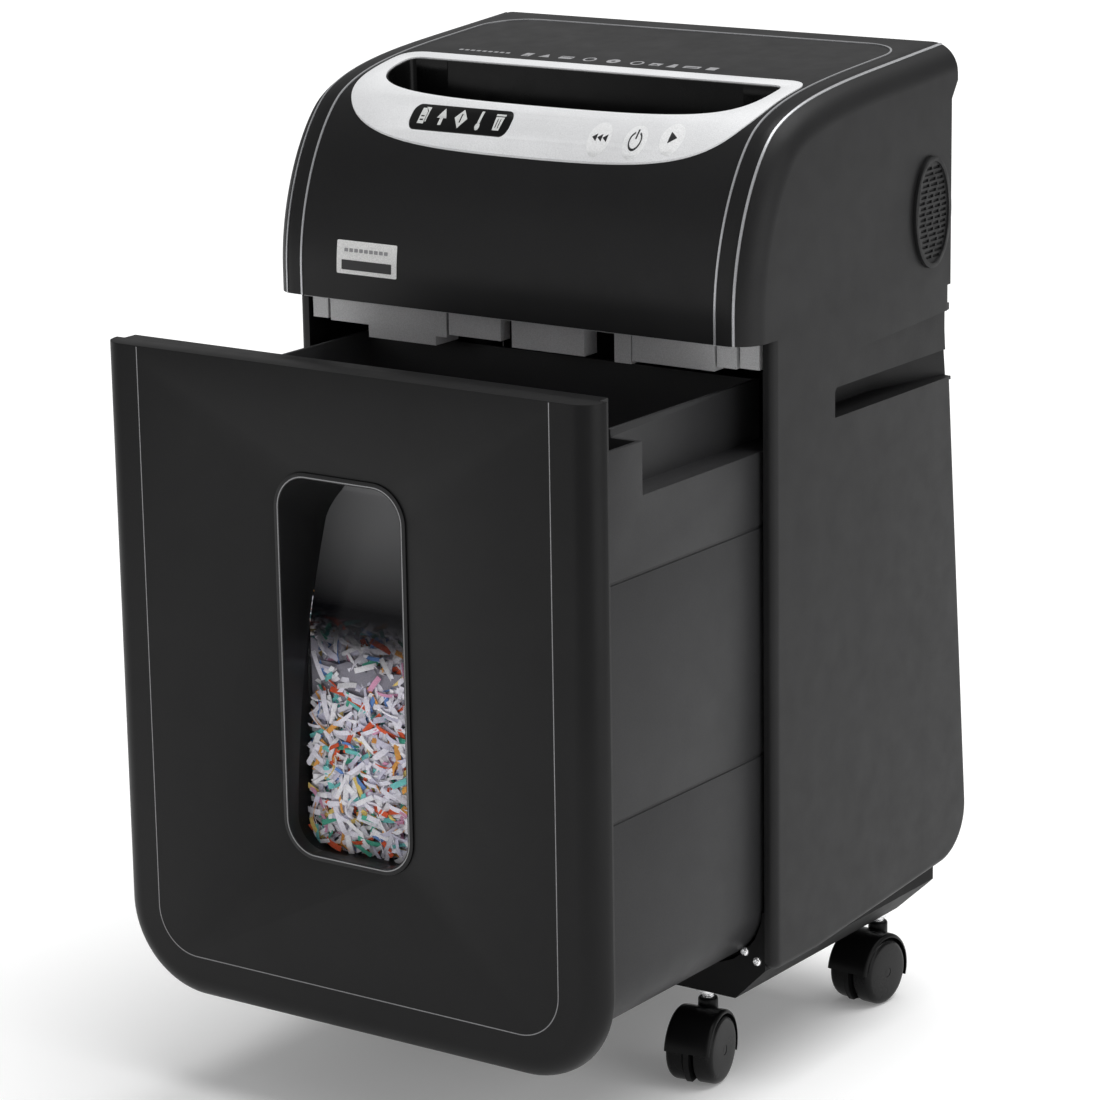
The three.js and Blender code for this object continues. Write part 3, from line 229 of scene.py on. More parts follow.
def bezier(p0, p1, p2, p3, steps):
    """Points of a curve after its first point."""
    points = []
    for k in range(1, steps + 1):
        t = k / steps
        weights = ((1 - t) ** 3, 3 * t * (1 - t) ** 2, 3 * t * t * (1 - t), t**3)
        points.append(
            tuple(sum(w * p[i] for w, p in zip(weights, (p0, p1, p2, p3))) for i in (0, 1))
        )
    return points


def lofted(axis, rings, shift):
    """A closed shape through rings, each a place along the axis and an outline."""
    at = PLACES[axis]
    count = len(rings[0][1])
    points = [at(a, b, t) for t, ring in rings for a, b in ring]
    last = (len(rings) - 1) * count
    faces = [tuple(range(count)), tuple(last + i for i in reversed(range(count)))]
    for low in range(0, last, count):
        for i in range(count):
            j = (i + 1) % count
            faces.append((low + i, low + j, low + count + j, low + count + i))
    return build("form", points, faces, shift)


def pillow(axis, outline, start, end, edge, steps=10, depth=0.0, shift=SHIFT):
    """A prism whose two ends have a rounded edge of that radius."""
    rings = []
    for k in range(steps, -1, -1):
        angle = math.radians(90 * k / steps)
        inwards = depth + edge * (1 - math.cos(angle))
        rings.append((start + edge * (1 - math.sin(angle)), inset(outline, inwards)))
    rings += [(start + end - t, ring) for t, ring in reversed(rings)]
    return lofted(axis, rings, shift)


def turned(profile, centre, axis, sides=48):
    """A closed turned shape. Profile points are (radius, along the axis)."""
    turn = Vector((0, 0, 1)).rotation_difference(Vector(axis)).to_matrix()
    points, faces, rings = [], [], []
    for radius, along in profile:
        count = sides if radius > 1e-6 else 1
        rings.append((len(points), count))
        for k in range(count):
            angle = 2 * math.pi * k / sides
            spot = Vector((radius * math.cos(angle), radius * math.sin(angle), along))
            points.append(tuple(turn @ spot + Vector(centre)))
    loop = len(rings) if profile[0][0] > 1e-6 else len(rings) - 1
    for r in range(loop):
        (a, na), (b, nb) = rings[r], rings[(r + 1) % len(rings)]
        if na == 1 and nb == 1:
            continue
        for k in range(sides):
            j = (k + 1) % sides
            quad = (a + k % na, a + j % na, b + j % nb, b + k % nb)
            faces.append(tuple(dict.fromkeys(quad)))
    return build("form", points, faces)


def copied(piece):
    copy = piece.copy()
    copy.data = piece.data.copy()
    bpy.context.scene.collection.objects.link(copy)
    return copy


def mirrored(piece):
    """A copy on the other side of the middle plane."""
    copy = copied(piece)
    copy.data.transform(Matrix.Scale(-1, 4, (1, 0, 0)))
    copy.data.flip_normals()
    return copy


def gathered(name, pieces):
    """One object from several that don't touch."""
    for other in bpy.context.selected_objects:
        other.select_set(False)
    for piece in pieces:
        piece.select_set(True)
    bpy.context.view_layer.objects.active = pieces[0]
    bpy.ops.object.join()
    made = bpy.context.view_layer.objects.active
    made.name = name
    made.select_set(False)
    return made


def finish(piece, name, body, material, replaces=(), bevel=0.0, angle=32):
    """Edges, shading, material and name of a piece, which then rides on its body."""
    piece.name = name
    piece.data.name = name
    if bevel:
        apply_modifier(
            piece,
            "BEVEL",
            width=bevel * MM,
            segments=2,
            limit_method="ANGLE",
            angle_limit=math.radians(40),
        )
    piece.data.shade_smooth()
    piece.data.set_sharp_from_angle(angle=math.radians(angle))
    piece.data.materials.clear()
    piece.data.materials.append(material)
    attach(piece, body)
    if replaces:
        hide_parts(*replaces)
    return piece


def finish_pair(piece, name, material, node, bevel=0.0):
    """The right piece and its mirror image on the left."""
    left = mirrored(piece)
    for made, side in ((piece, "right"), (left, "left")):
        finish(made, f"{name}_{side}", "cabinet", material, [f"{node}_{side}"], bevel)


# ---- Shader nodes and the groups that finishes share ----
def shader_node(tree, kind, inputs, **settings):
    """The outputs of a new node, whose inputs are numbers or other nodes' outputs."""
    made = tree.nodes.new("ShaderNode" + kind)
    for key, value in settings.items():
        setattr(made, key, value)
    for label, value in inputs.items():
        if isinstance(value, bpy.types.NodeSocket):
            tree.links.new(value, made.inputs[label])
        else:
            made.inputs[label].default_value = value
    return made.outputs


def noise(tree, vector, scale, detail=2.0, roughness=0.5):
    inputs = {"Vector": vector, "Scale": scale, "Detail": detail, "Roughness": roughness}
    return shader_node(tree, "TexNoise", inputs)["Fac"]


def spread(tree, value, low, high):
    """A noise mapped to low to high, each a number or a socket."""
    inputs = {"Value": value, "From Min": 0.3, "From Max": 0.7, "To Min": low, "To Max": high}
    return shader_node(tree, "MapRange", inputs)["Result"]


def tinted(tree, colour, value, low, high):
    """The colour made darker or lighter by a changing value."""
    inputs = {0: colour, "Scale": spread(tree, value, low, high)}
    return shader_node(tree, "VectorMath", inputs, operation="SCALE")["Vector"]


def uneven(tree, roughness, value, less, more):
    """The roughness between that much less and that much more."""
    low = shader_node(tree, "Math", {0: roughness, 1: less}, operation="SUBTRACT")[0]
    high = shader_node(tree, "Math", {0: roughness, 1: more}, operation="ADD")[0]
    return spread(tree, value, low, high)


def new_group(name, colour, roughness, *others):
    """A group that gives colour, roughness and height, with its inputs and its output node."""
    group = bpy.data.node_groups.new(name, "ShaderNodeTree")
    taken = [("Vector", "Vector", None), ("Colour", "Color", (*colour, 1)),
             ("Roughness", "Float", roughness), *others]
    for label, kind, value in taken:
        socket = group.interface.new_socket(label, in_out="INPUT", socket_type="NodeSocket" + kind)
        if value is not None:
            socket.default_value = value
    for label, kind in (("Colour", "Color"), ("Roughness", "Float"), ("Height", "Float")):
        group.interface.new_socket(label, in_out="OUTPUT", socket_type="NodeSocket" + kind)
    return group, group.nodes.new("NodeGroupInput").outputs, group.nodes.new("NodeGroupOutput")


def give(group, outside, colour, rough, height):
    for label, value in (("Colour", colour), ("Roughness", rough), ("Height", height)):
        group.links.new(value, outside.inputs[label])
    return group


def moulded_group():
    """Moulded plastic: fine spark grain, broad uneven gloss and a little dust-like lightness."""
    group, inside, outside = new_group(
        "moulded_plastic", (0.02, 0.02, 0.02), 0.45, ("Grain Size", "Float", 1400.0)
    )
    inputs = {0: inside["Vector"], "Scale": inside["Grain Size"]}
    scaled = shader_node(group, "VectorMath", inputs, operation="SCALE")["Vector"]
    grain = noise(group, scaled, 1.0, 1.0)
    cloud = noise(group, inside["Vector"], 9.0, 3.0, 0.55)
    patch = noise(group, inside["Vector"], 55.0, 3.0, 0.6)
    colour = tinted(group, inside["Colour"], cloud, 0.9, 1.1)
    colour = tinted(group, colour, grain, 0.88, 1.12)
    rough = uneven(group, inside["Roughness"], patch, 0.035, 0.035)
    return give(group, outside, colour, rough, grain)


def metal_group():
    """Drawn or brushed metal: fine streaks along one direction, set by the stretch."""
    group, inside, outside = new_group(
        "streaked_metal", (0.6, 0.6, 0.6), 0.3, ("Stretch", "Vector", (60.0, 2600.0, 2600.0))
    )
    inputs = {0: inside["Vector"], 1: inside["Stretch"]}
    stretched = shader_node(group, "VectorMath", inputs, operation="MULTIPLY")["Vector"]
    streaks = noise(group, stretched, 1.0)
    cloud = noise(group, inside["Vector"], 14.0, 3.0)
    colour = tinted(group, inside["Colour"], streaks, 0.9, 1.06)
    rough = uneven(group, inside["Roughness"], cloud, 0.06, 0.08)
    return give(group, outside, colour, rough, streaks)


moulded_plastic = moulded_group()
streaked_metal = metal_group()


def principled(name, **values):
    """A new material, its tree, its shader and the place on the piece."""
    material = bpy.data.materials.new(name)
    material.use_nodes = True
    tree = material.node_tree
    shader = tree.nodes["Principled BSDF"]
    labels = {"specular": "Specular IOR Level"}
    for key, value in values.items():
        label = labels.get(key, key.replace("_", " ").title())
        shader.inputs[label].default_value = value
    place = tree.nodes.new("ShaderNodeTexCoord").outputs["Object"]
    return material, tree, shader, place


def raised(tree, shader, height, strength, distance):
    inputs = {"Height": height, "Strength": strength, "Distance": distance}
    tree.links.new(shader_node(tree, "Bump", inputs)["Normal"], shader.inputs["Normal"])


def surfaced(name, group, colour, roughness, metallic=0.0, specular=0.5, coat=0.0, bump=0.02,
             **values):
    """A material whose colour, roughness and height come from one group."""
    material, tree, shader, place = principled(
        name, metallic=metallic, specular=specular, coat_weight=coat, coat_roughness=0.12
    )
    inputs = {"Vector": place, "Colour": (*colour, 1), "Roughness": roughness}
    inputs.update((key.replace("_", " ").title(), value) for key, value in values.items())
    effect = shader_node(tree, "Group", inputs, node_tree=group)
    tree.links.new(effect["Colour"], shader.inputs["Base Color"])
    tree.links.new(effect["Roughness"], shader.inputs["Roughness"])
    raised(tree, shader, effect["Height"], bump, 0.0002)
    return material


def plastic(name, colour, roughness, **values):
    return surfaced(name, moulded_plastic, colour, roughness, **values)


def black(name, level, roughness, specular, **values):
    return plastic(name, (level, level, level * 1.04), roughness, specular=specular, **values)


def metal(name, colour, roughness, **values):
    return surfaced(name, streaked_metal, colour, roughness, **values)


HEAD_BLACK = black("head_black", 0.0125, 0.34, 0.17, bump=0.03)
PANEL_BLACK = black("panel_black", 0.006, 0.4, 0.16, bump=0.04)
SIDE_BLACK = black("side_black", 0.011, 0.46, 0.2, bump=0.12, grain_size=1100.0)
TUB_BLACK = black("tub_black", 0.024, 0.44, 0.22, bump=0.08)
INNER_BLACK = black("inner_black", 0.006, 0.55, 0.12, bump=0.1)
FUNNEL_BLACK = black("funnel_black", 0.002, 0.26, 0.2, bump=0.02)
LENS_BLACK = black("indicator_black", 0.003, 0.16, 0.25, bump=0.0)
HOOD_BLACK = black("caster_black", 0.004, 0.34, 0.14, bump=0.05)
WHEEL_BLACK = black("wheel_black", 0.004, 0.26, 0.16, bump=0.02)
FRAME_GREY = plastic("frame_grey", (0.5, 0.5, 0.505), 0.45, specular=0.35, bump=0.1)
GLAND_RUBBER = black("gland_rubber", 0.012, 0.6, 0.3, bump=0.15)
BOARD_GREEN = plastic("board_green", (0.02, 0.12, 0.05), 0.35, coat=0.3)
FASCIA_SILVER = plastic("fascia_silver", (0.74, 0.745, 0.755), 0.55, specular=0.2, bump=0.03,
                        grain_size=2200.0)
TRIM_SILVER = plastic("trim_silver", (0.45, 0.455, 0.47), 0.3, metallic=0.5)
# Grey of the door's inlay line, also used for the painted highlight ring round the window.
INLAY_AND_HIGHLIGHT_GREY = plastic("inlay_and_highlight_grey", (0.2, 0.2, 0.205), 0.35, metallic=0.4)
GEAR_STEEL = metal("gear_steel", (0.5, 0.5, 0.51), 0.32, metallic=1.0)
CASTER_STEEL = metal("caster_steel", (0.9, 0.9, 0.91), 0.24, metallic=0.8, bump=0.01,
                     stretch=(900.0, 900.0, 900.0))
LABEL_WHITE = plastic("label_white", (0.93, 0.93, 0.92), 0.45)
PRINT_GREY = plastic("print_grey", (0.32, 0.32, 0.33), 0.5, bump=0.0)
PRINT_PALE = plastic("print_pale", (0.62, 0.63, 0.62), 0.45, bump=0.0)
PRINT_BLACK = plastic("print_black", (0.012, 0.012, 0.014), 0.5, bump=0.0)
KEY_SILVER = plastic("key_silver", (0.84, 0.845, 0.85), 0.45, metallic=0.1, bump=0.01)

# ---- Head: its form ----
BROW = (FRONT + 45, HEAD_BOTTOM + 122)


def top_at(y):
    return HEAD_TOP - TOP_SLOPE * (BACK + HEAD_LIP - y)


def head_outline(steps=26):
    flat = BROW[0] + 130
    outline = [(FRONT, HEAD_BOTTOM - BELOW), (FRONT, HEAD_BOTTOM + 15)]
    outline += bezier(outline[1], (FRONT, BROW[1] - 60), (BROW[0] - 21, BROW[1] - 15), BROW, steps)
    outline += bezier(
        BROW,
        (BROW[0] + 25, BROW[1] + 17),
        (BROW[0] + 80, top_at(BROW[0] + 80)),
        (flat, top_at(flat)),
        steps,
    )
    return outline + [(BACK + BELOW, top_at(BACK + BELOW)), (BACK + BELOW, HEAD_BOTTOM - BELOW)]


def head_form(depth):
    reach = HALF - depth
    return pillow("X", head_outline(), -reach, reach, HEAD_EDGE - depth, 10, depth)


def head_room(x0, x1):
    """Everything from the head's front to its back, where the top reaches out behind."""
    outline = [
        (FRONT - 9, HEAD_BOTTOM),
        (BACK, HEAD_BOTTOM),
        (BACK, HEAD_TOP - LIP_HEIGHT - 3),
        (BACK + HEAD_LIP, HEAD_TOP - LIP_HEIGHT + 8),
        (BACK + HEAD_LIP - 1.5, ABOVE),
        (FRONT - 9, ABOVE),
    ]
    return prism("X", outline, x0, x1)


def cover_plan(outward):
    reach = COVER_HALF + outward
    back = COVER_BACK + outward
    corner = COVER_CORNER + outward
    outline = [(-reach, FRONT - 9), (reach, FRONT - 9), (reach, back, corner), (-reach, back, corner)]
    return rounded(outline)


def arc_plan(half, back, side, front, corner, outward=0.0):
    """A band with rounded back corners and a bowed front edge."""
    right = [(half - corner, back)]
    right += bezier(right[0], (half - corner / 3, back), (half, back - corner / 3),
                    (half, back - corner), 10)
    right.append((half, side))
    right += bezier((half, side), (half, front + 4), (half * 0.86, front), (0, front), 30)
    outline = right + [(-x, y) for x, y in reversed(right[:-1])]
    return inset(outline, -outward) if outward else outline


def fascia_plan(outward=0.0):
    return arc_plan(FASCIA_HALF, FRONT + 115, FRONT + 72, FRONT + 23, 16, outward)


def entry_plan(outward=0.0):
    return arc_plan(ENTRY_HALF, ENTRY_BACK, ENTRY_BACK - 12, ENTRY_FRONT, 9, outward)


def indicator_plan(outward=0.0):
    (x, y), (wide, tall) = INDICATOR, INDICATOR_HALF
    wide += outward
    tall += outward
    return rectangle(x - wide, x + wide, y - tall, y + tall, 5 + outward)


def through(outline, low=HEAD_BOTTOM):
    return prism("Z", outline, low, ABOVE)


# ---- Head: its pieces ----
cover = keep(head_form(0), through(cover_plan(-LINE / 2 - SLIT)))
cut(cover, head_form(WALL))
cut(cover, cut(through(fascia_plan(SLIT)), head_form(2.1)))
cut(cover, through(entry_plan(SLIT)))
finish(cover, "cover", "cabinet", HEAD_BLACK, ["head_cover"])

rim_reach = SIDE_LINE - LINE / 2 - SLIT
rim = keep(head_form(0), head_room(-rim_reach, rim_reach))
hollow = keep(head_form(WALL), box(-HALF, HALF, FRONT - 30, BACK - WALL, 0, ABOVE))
cut(rim, hollow, through(cover_plan(LINE / 2 + SLIT)))
cut(rim, turned([(0, 0), (GLAND_HOLE, 0), (GLAND_HOLE, 30), (0, 30)], GLAND, (0, 1, 0)))
wide, tall = SWITCH_ROOM
cut(rim, box(SWITCH_X - wide, SWITCH_X + wide, BACK - 15, BACK + 15, SWITCH_Z - tall, SWITCH_Z + tall))
finish(rim, "rim", "cabinet", HEAD_BLACK, ["head_rim"])

trim = keep(head_form(-0.5), through(cover_plan(LINE / 2)), head_room(-HALF, HALF))
cut(trim, head_form(WALL), through(cover_plan(-LINE / 2)))
finish(trim, "cover_line", "cabinet", TRIM_SILVER, ["cover_trim"])

side_line = keep(head_form(-0.5), head_room(SIDE_LINE - LINE / 2, SIDE_LINE + LINE / 2))
cut(side_line, head_form(WALL + 1))
finish_pair(side_line, "side_line", TRIM_SILVER, "side_trim")

fascia = keep(head_form(-0.6), through(fascia_plan()))
cut(fascia, head_form(1.8), through(entry_plan(SLIT)))
cut(fascia, cut(through(indicator_plan(0.2)), head_form(0.9)))
finish(fascia, "fascia", "cabinet", FASCIA_SILVER, ["control_fascia"], bevel=0.35)

lens = keep(head_form(-0.75), through(indicator_plan()))
cut(lens, head_form(0.5))
finish(lens, "indicator_lens", "cabinet", LENS_BLACK, ["indicator_window"],
       bevel=0.3)

# The entry is a tub with a curved ramp down to the throat and a steep back wall.
THROAT_FLOOR = HEAD_BOTTOM + 112
THROAT_END = HEAD_BOTTOM + 96
tub = keep(prism("Z", entry_plan(), THROAT_FLOOR - WALL, ABOVE), head_form(0.2))
ramp = [(ENTRY_FRONT - 4, BROW[1] - 4)]
ramp += bezier(ramp[0], (ENTRY_FRONT + 14, BROW[1] + 1), (THROAT_Y - 14, THROAT_FLOOR + 1),
               (THROAT_Y - 3.5, THROAT_FLOOR), 16)
ramp += [(THROAT_Y + 3.5, THROAT_FLOOR), (ENTRY_BACK - 2, HEAD_TOP - 19), (ENTRY_BACK - 2, ABOVE),
         (ENTRY_FRONT - 4, ABOVE)]
lead = keep(prism("X", ramp, -ENTRY_HALF + 1.6, ENTRY_HALF - 1.6),
            prism("Z", entry_plan(-1.2), THROAT_FLOOR - WALL, ABOVE))
cut(tub, lead)
join(tub, box(-THROAT_HALF - 2, THROAT_HALF + 2, THROAT_Y - 5.5, THROAT_Y + 5.5, THROAT_END,
              THROAT_FLOOR - 0.5))
cut(tub, box(-THROAT_HALF, THROAT_HALF, THROAT_Y - 3.5, THROAT_Y + 3.5, THROAT_END - 1, ABOVE))
finish(tub, "entry_tub", "cabinet", FUNNEL_BLACK, ["paper_funnel"], bevel=0.8)

# ---- Side panels ----
SIDE_FRONT = FRONT + 27
SIDE_BOTTOM = BASE_BOTTOM + 23
GRIP_TOP = HEAD_BOTTOM - 43
GRIP_BOTTOM = GRIP_TOP - 17
GRIP_FRONT = FRONT + 97
BACK_FOOT = BACK + 31
side_outline = rounded(
    [
        (SIDE_FRONT, SIDE_BOTTOM, 8),
        (FRONT + 80, SIDE_BOTTOM),
        (BACK_FOOT, BASE_BOTTOM + 37, 34),
        (BACK, HEAD_BOTTOM - 30, 60),
        (BACK, HEAD_BOTTOM + BELOW),
        (SIDE_FRONT, HEAD_BOTTOM + BELOW),
    ]
)


def grip_plan(outward):
    inner = HALF - 22 - outward
    return [
        (HALF + 20, GRIP_FRONT - outward),
        (inner, GRIP_FRONT - outward),
        (inner, FRONT + 176),
        (HALF - 4 - outward, BACK + 6),
        (HALF - 4 - outward, BACK_FOOT + 20),
        (HALF + 20, BACK_FOOT + 20),
    ]


panel = pillow("X", side_outline, -HALF, HALF, 5, 6)
cut(panel, prism("X", inset(side_outline, WALL), -HALF + WALL, HALF - WALL))
keep(panel, box(INSIDE, HALF + 1, FRONT - 9, BACK_FOOT + 9, 0, HEAD_BOTTOM + 30))
keep(panel, join(head_form(0), box(-WIDE, WIDE, FRONT - 9, BACK_FOOT + 9, 0, HEAD_BOTTOM)))
upper = keep(head_form(0), head_room(SIDE_LINE + LINE / 2 + SLIT, HALF + 1))
cut(upper, head_form(WALL))
join(panel, upper)
backing = prism("Z", grip_plan(2.2), GRIP_BOTTOM - 2.2, GRIP_TOP + 31)
keep(backing, prism("X", inset(side_outline, 0.5), 0, HALF - 0.6))
keep(
    backing,
    join(
        box(0, HALF, FRONT, BACK_FOOT, 0, GRIP_TOP + 2.2),
        box(INSIDE, HALF, FRONT, BACK_FOOT, 0, HEAD_BOTTOM),
    ),
)
join(panel, backing)
slot_room = prism("Z", grip_plan(0), GRIP_BOTTOM, GRIP_TOP)
scoop = prism(
    "X",
    [
        (GRIP_FRONT, GRIP_TOP - 1),
        (GRIP_FRONT + 16, GRIP_TOP + 21),
        (BACK_FOOT, GRIP_TOP + 28),
        (BACK_FOOT, GRIP_TOP - 1),
    ],
    HALF - 4,
    HALF + 5,
)
cut(panel, slot_room, scoop)
finish_pair(panel, "side", SIDE_BLACK, "side_panel")


# ---- Vents ----
def vent():
    y, z = BACK - 26, HEAD_BOTTOM + 50
    face = HALF + GAP
    disc = prism("X", oval(y, z, 22, 35.5, 48), face - 1, face + 2.2)
    cut(disc, prism("X", oval(y, z, 18.8, 32.3, 48), face + 1, face + 5))
    slots = []
    for k in range(-8, 9):
        rise = k * 3.5
        half = 17.5 * math.sqrt(max(0.05, 1 - (rise / 33.5) ** 2))
        count = max(1, int(half * 2 / 8.2))
        pitch = half * 2 / count
        lean = 1.8 if k % 2 else 0.0
        for n in range(count):
            a = y - half + n * pitch + 0.9 + lean
            b = min(a + pitch - 1.8, y + half)
            if b - a > 2:
                slots.append(box(face - 0.2, face + 5, a, b, z + rise - 0.95, z + rise + 0.95))
    return cut(disc, gathered("slots", slots))


finish_pair(vent(), "vent", SIDE_BLACK, "vent_grille", 0.4)

# ---- Bin: front panel, window and tub ----
BIN_SHIFT = SHIFT - BIN_OUT


def panel_outline(smaller):
    half = HALF + 0.5 - smaller
    radius = 58 - smaller
    return rounded(
        [
            (-half, PANEL_TOP + BELOW),
            (-half, PANEL_BOTTOM + smaller, radius),
            (half, PANEL_BOTTOM + smaller, radius),
            (half, PANEL_TOP + BELOW),
        ],
        22,
    )


def window_outline(outward):
    return rectangle(-WINDOW_HALF - outward, WINDOW_HALF + outward, WINDOW_BOTTOM - outward,
                     WINDOW_TOP + outward, 20 + outward, 16)


def bin_box(y0, y1, top):
    return box(-WIDE, WIDE, y0, y1, 0, top, BIN_SHIFT)


def bin_slab(outline, y0, y1):
    return prism("Y", outline, y0, y1, BIN_SHIFT)


PANEL_LIP = 16.0
door = pillow("Y", panel_outline(0), FRONT, FRONT + 60, 15, 12, 0, BIN_SHIFT)
keep(door, bin_box(FRONT - 1, FRONT + PANEL_LIP, PANEL_TOP))
spine = bin_slab(panel_outline(6), FRONT + PANEL_LIP - 4, FRONT + 26)
join(door, keep(spine, bin_box(FRONT, BACK, PANEL_TOP)))
pocket = bin_slab(panel_outline(9), FRONT + PANEL_LIP - 5, FRONT + 27)
keep(pocket, bin_box(FRONT, BACK, PANEL_TOP - WALL))
cut(door, pocket)
rib = bin_slab(window_outline(5.7), FRONT + 2, FRONT + 26)
join(door, rib)
cut(door, bin_slab(window_outline(2.7), FRONT - 1, FRONT + 27))
finish(door, "bin_door", "bin", PANEL_BLACK, ["bin_front_panel"], bevel=0.9)

# The thin pale line runs down both sides of the door and round its foot.
inlay = bin_slab(panel_outline(28.6), FRONT - 0.15, FRONT + 0.6)
cut(inlay, bin_slab(panel_outline(29.2), FRONT - 2, FRONT + 2))
keep(inlay, bin_box(FRONT - 1, FRONT + 2, PANEL_TOP - 0.6))
finish(inlay, "door_inlay", "bin", INLAY_AND_HIGHLIGHT_GREY)


def pane_line():
    foot = (FRONT + 8, WINDOW_BOTTOM)
    top = (FRONT + PANE_DEPTH, WINDOW_TOP - 18.64)
    line = [(FRONT + 8, WINDOW_BOTTOM - 9), foot]
    line += bezier(foot, (FRONT + 11, WINDOW_BOTTOM + 77), (FRONT + 21, WINDOW_BOTTOM + 140), top, 28)
    return line + [(FRONT + PANE_DEPTH, WINDOW_TOP + 9)]


def pane_outline(ahead, behind):
    line = pane_line()
    return [(y + ahead, z) for y, z in line] + [(y + behind, z) for y, z in reversed(line)]


def window_cut():
    """The window's hollow: its upper corners widen into an arch towards the pane."""
    rings = []
    for depth, corner in ((-9, 20), (0, 20), (16, 27), (34, 37), (PANE_DEPTH, 44.8), (90, 44.8)):
        outline = rounded(
            [
                (-WINDOW_HALF, WINDOW_BOTTOM, 20),
                (WINDOW_HALF, WINDOW_BOTTOM, 20),
                (WINDOW_HALF, WINDOW_TOP, corner),
                (-WINDOW_HALF, WINDOW_TOP, corner),
            ],
            16,
        )
        rings.append((FRONT + depth, outline))
    return lofted("Y", rings, BIN_SHIFT)


surround = bin_slab(window_outline(2.4), FRONT - 0.6, FRONT + PANE_DEPTH + 9)
keep(surround, prism("X", pane_outline(-100, -0.4), -HALF, HALF, BIN_SHIFT))
join(surround, bin_slab(window_outline(3.6), FRONT - 0.8, FRONT - GAP))
cut(surround, window_cut())
finish(surround, "window_surround", "bin", HEAD_BLACK, ["window_frame"], bevel=0.4)

# A thin grey ring round the window's front edge: a painted highlight where the rim's edge catches the
# light.
window_highlight_ring = bin_slab(window_outline(1.3), FRONT - 0.95, FRONT - 0.7)
cut(window_highlight_ring, bin_slab(window_outline(0.6), FRONT - 2, FRONT + 2))
finish(window_highlight_ring, "window_edge_highlight", "bin", INLAY_AND_HIGHLIGHT_GREY)

pane = keep(
    prism("X", pane_outline(0, 2), -HALF, HALF, BIN_SHIFT),
    bin_slab(window_outline(-0.3), FRONT, FRONT + 90),
)


def pane_material():
    """A clear pane whose smoky tint thickens towards its top, and whose colour lightens near the top
    as a painted reflection.
    """
    material, tree, shader, place = principled("window_clear", roughness=0.2, specular=0.08)
    rise = shader_node(tree, "SeparateXYZ", {"Vector": place})["Z"]
    inputs = {"Value": rise, "From Min": 0.285, "From Max": 0.325, "To Min": 0.02, "To Max": 0.97}
    tint = shader_node(tree, "MapRange", inputs, interpolation_type="SMOOTHSTEP")["Result"]
    tree.links.new(tint, shader.inputs["Alpha"])
    # Painted reflection: the colour lightens from near black to grey over the pane's upper part.
    inputs = {"Value": rise, "From Min": 0.325, "From Max": 0.405}
    painted_reflection = shader_node(tree, "MapRange", inputs)["Result"]
    inputs = {"Factor": painted_reflection, "A": (0.004, 0.004, 0.005, 1), "B": (0.24, 0.24, 0.245, 1)}
    shade = shader_node(tree, "Mix", inputs, data_type="RGBA")["Result"]
    tree.links.new(shade, shader.inputs["Base Color"])
    return material


finish(pane, "clear_pane", "bin", pane_material(), ["window_pane"], angle=50)

BIN_HALF = 168.8
TUB_FRONT = FRONT + 26.3
TUB_BACK = 107.0
TUB_BOTTOM = 81.8
SHOULDER = HEAD_BOTTOM - 69
NECK = BIN_HALF - 20
GROOVE_DROPS = (115, 259)


def tub_form(smaller, rise):
    trough = rounded(
        [
            (-BIN_HALF + smaller, SHOULDER - smaller),
            (-BIN_HALF + smaller, TUB_BOTTOM + smaller, 42 - smaller),
            (BIN_HALF - smaller, TUB_BOTTOM + smaller, 42 - smaller),
            (BIN_HALF - smaller, SHOULDER - smaller),
        ],
        18,
    )
    made = bin_slab(trough, TUB_FRONT + smaller, TUB_BACK - smaller)
    for half, back, drop in ((NECK, TUB_BACK, 32), (BIN_HALF, TUB_FRONT + 42, 37)):
        join(made, box(smaller - half, half - smaller, TUB_FRONT + smaller, back - smaller,
                       SHOULDER - 20, HEAD_BOTTOM - drop + rise, BIN_SHIFT))
    return made


bucket = cut(tub_form(0, 0), tub_form(3, BELOW))
cut(bucket, bin_slab(window_outline(2.7), TUB_FRONT - 1, TUB_FRONT + 4))
for drop in GROOVE_DROPS:
    for side in (-1, 1):
        low, high = sorted((side * (BIN_HALF - 0.9), side * (BIN_HALF + 1)))
        z = HEAD_BOTTOM - drop
        cut(bucket, box(low, high, TUB_FRONT - 1, TUB_BACK + 1, z - 1.1, z + 1.1, BIN_SHIFT))
finish(bucket, "bin_bucket", "bin", TUB_BLACK, ["bin_tub"], bevel=1.4)


# ---- Shreds in the bin ----
def shred_material():
    material, tree, shader, place = principled("paper_shreds", roughness=0.75, specular=0.2)
    tint = shader_node(tree, "Attribute", {}, attribute_name="tint")["Color"]
    fibre = noise(tree, place, 900.0, 3.0)
    tree.links.new(tinted(tree, tint, fibre, 0.88, 1.08), shader.inputs["Base Color"])
    raised(tree, shader, fibre, 0.15, 0.0003)
    return material


SHRED_COLOURS = [
    ((0.88, 0.86, 0.95), 34),
    ((0.93, 0.92, 0.96), 26),
    ((0.70, 0.68, 0.82), 14),
    ((0.75, 0.12, 0.05), 5),
    ((0.85, 0.40, 0.10), 5),
    ((0.90, 0.68, 0.22), 4),
    ((0.10, 0.48, 0.34), 4),
    ((0.20, 0.62, 0.60), 5),
    ((0.14, 0.28, 0.62), 4),
    ((0.72, 0.35, 0.52), 3),
]


def pane_y(z):
    line = pane_line()
    for (y0, z0), (y1, z1) in zip(line, line[1:]):
        if z0 <= z <= z1:
            return y0 + (y1 - y0) * (z - z0) / max(1e-6, z1 - z0)
    return line[-1][0]


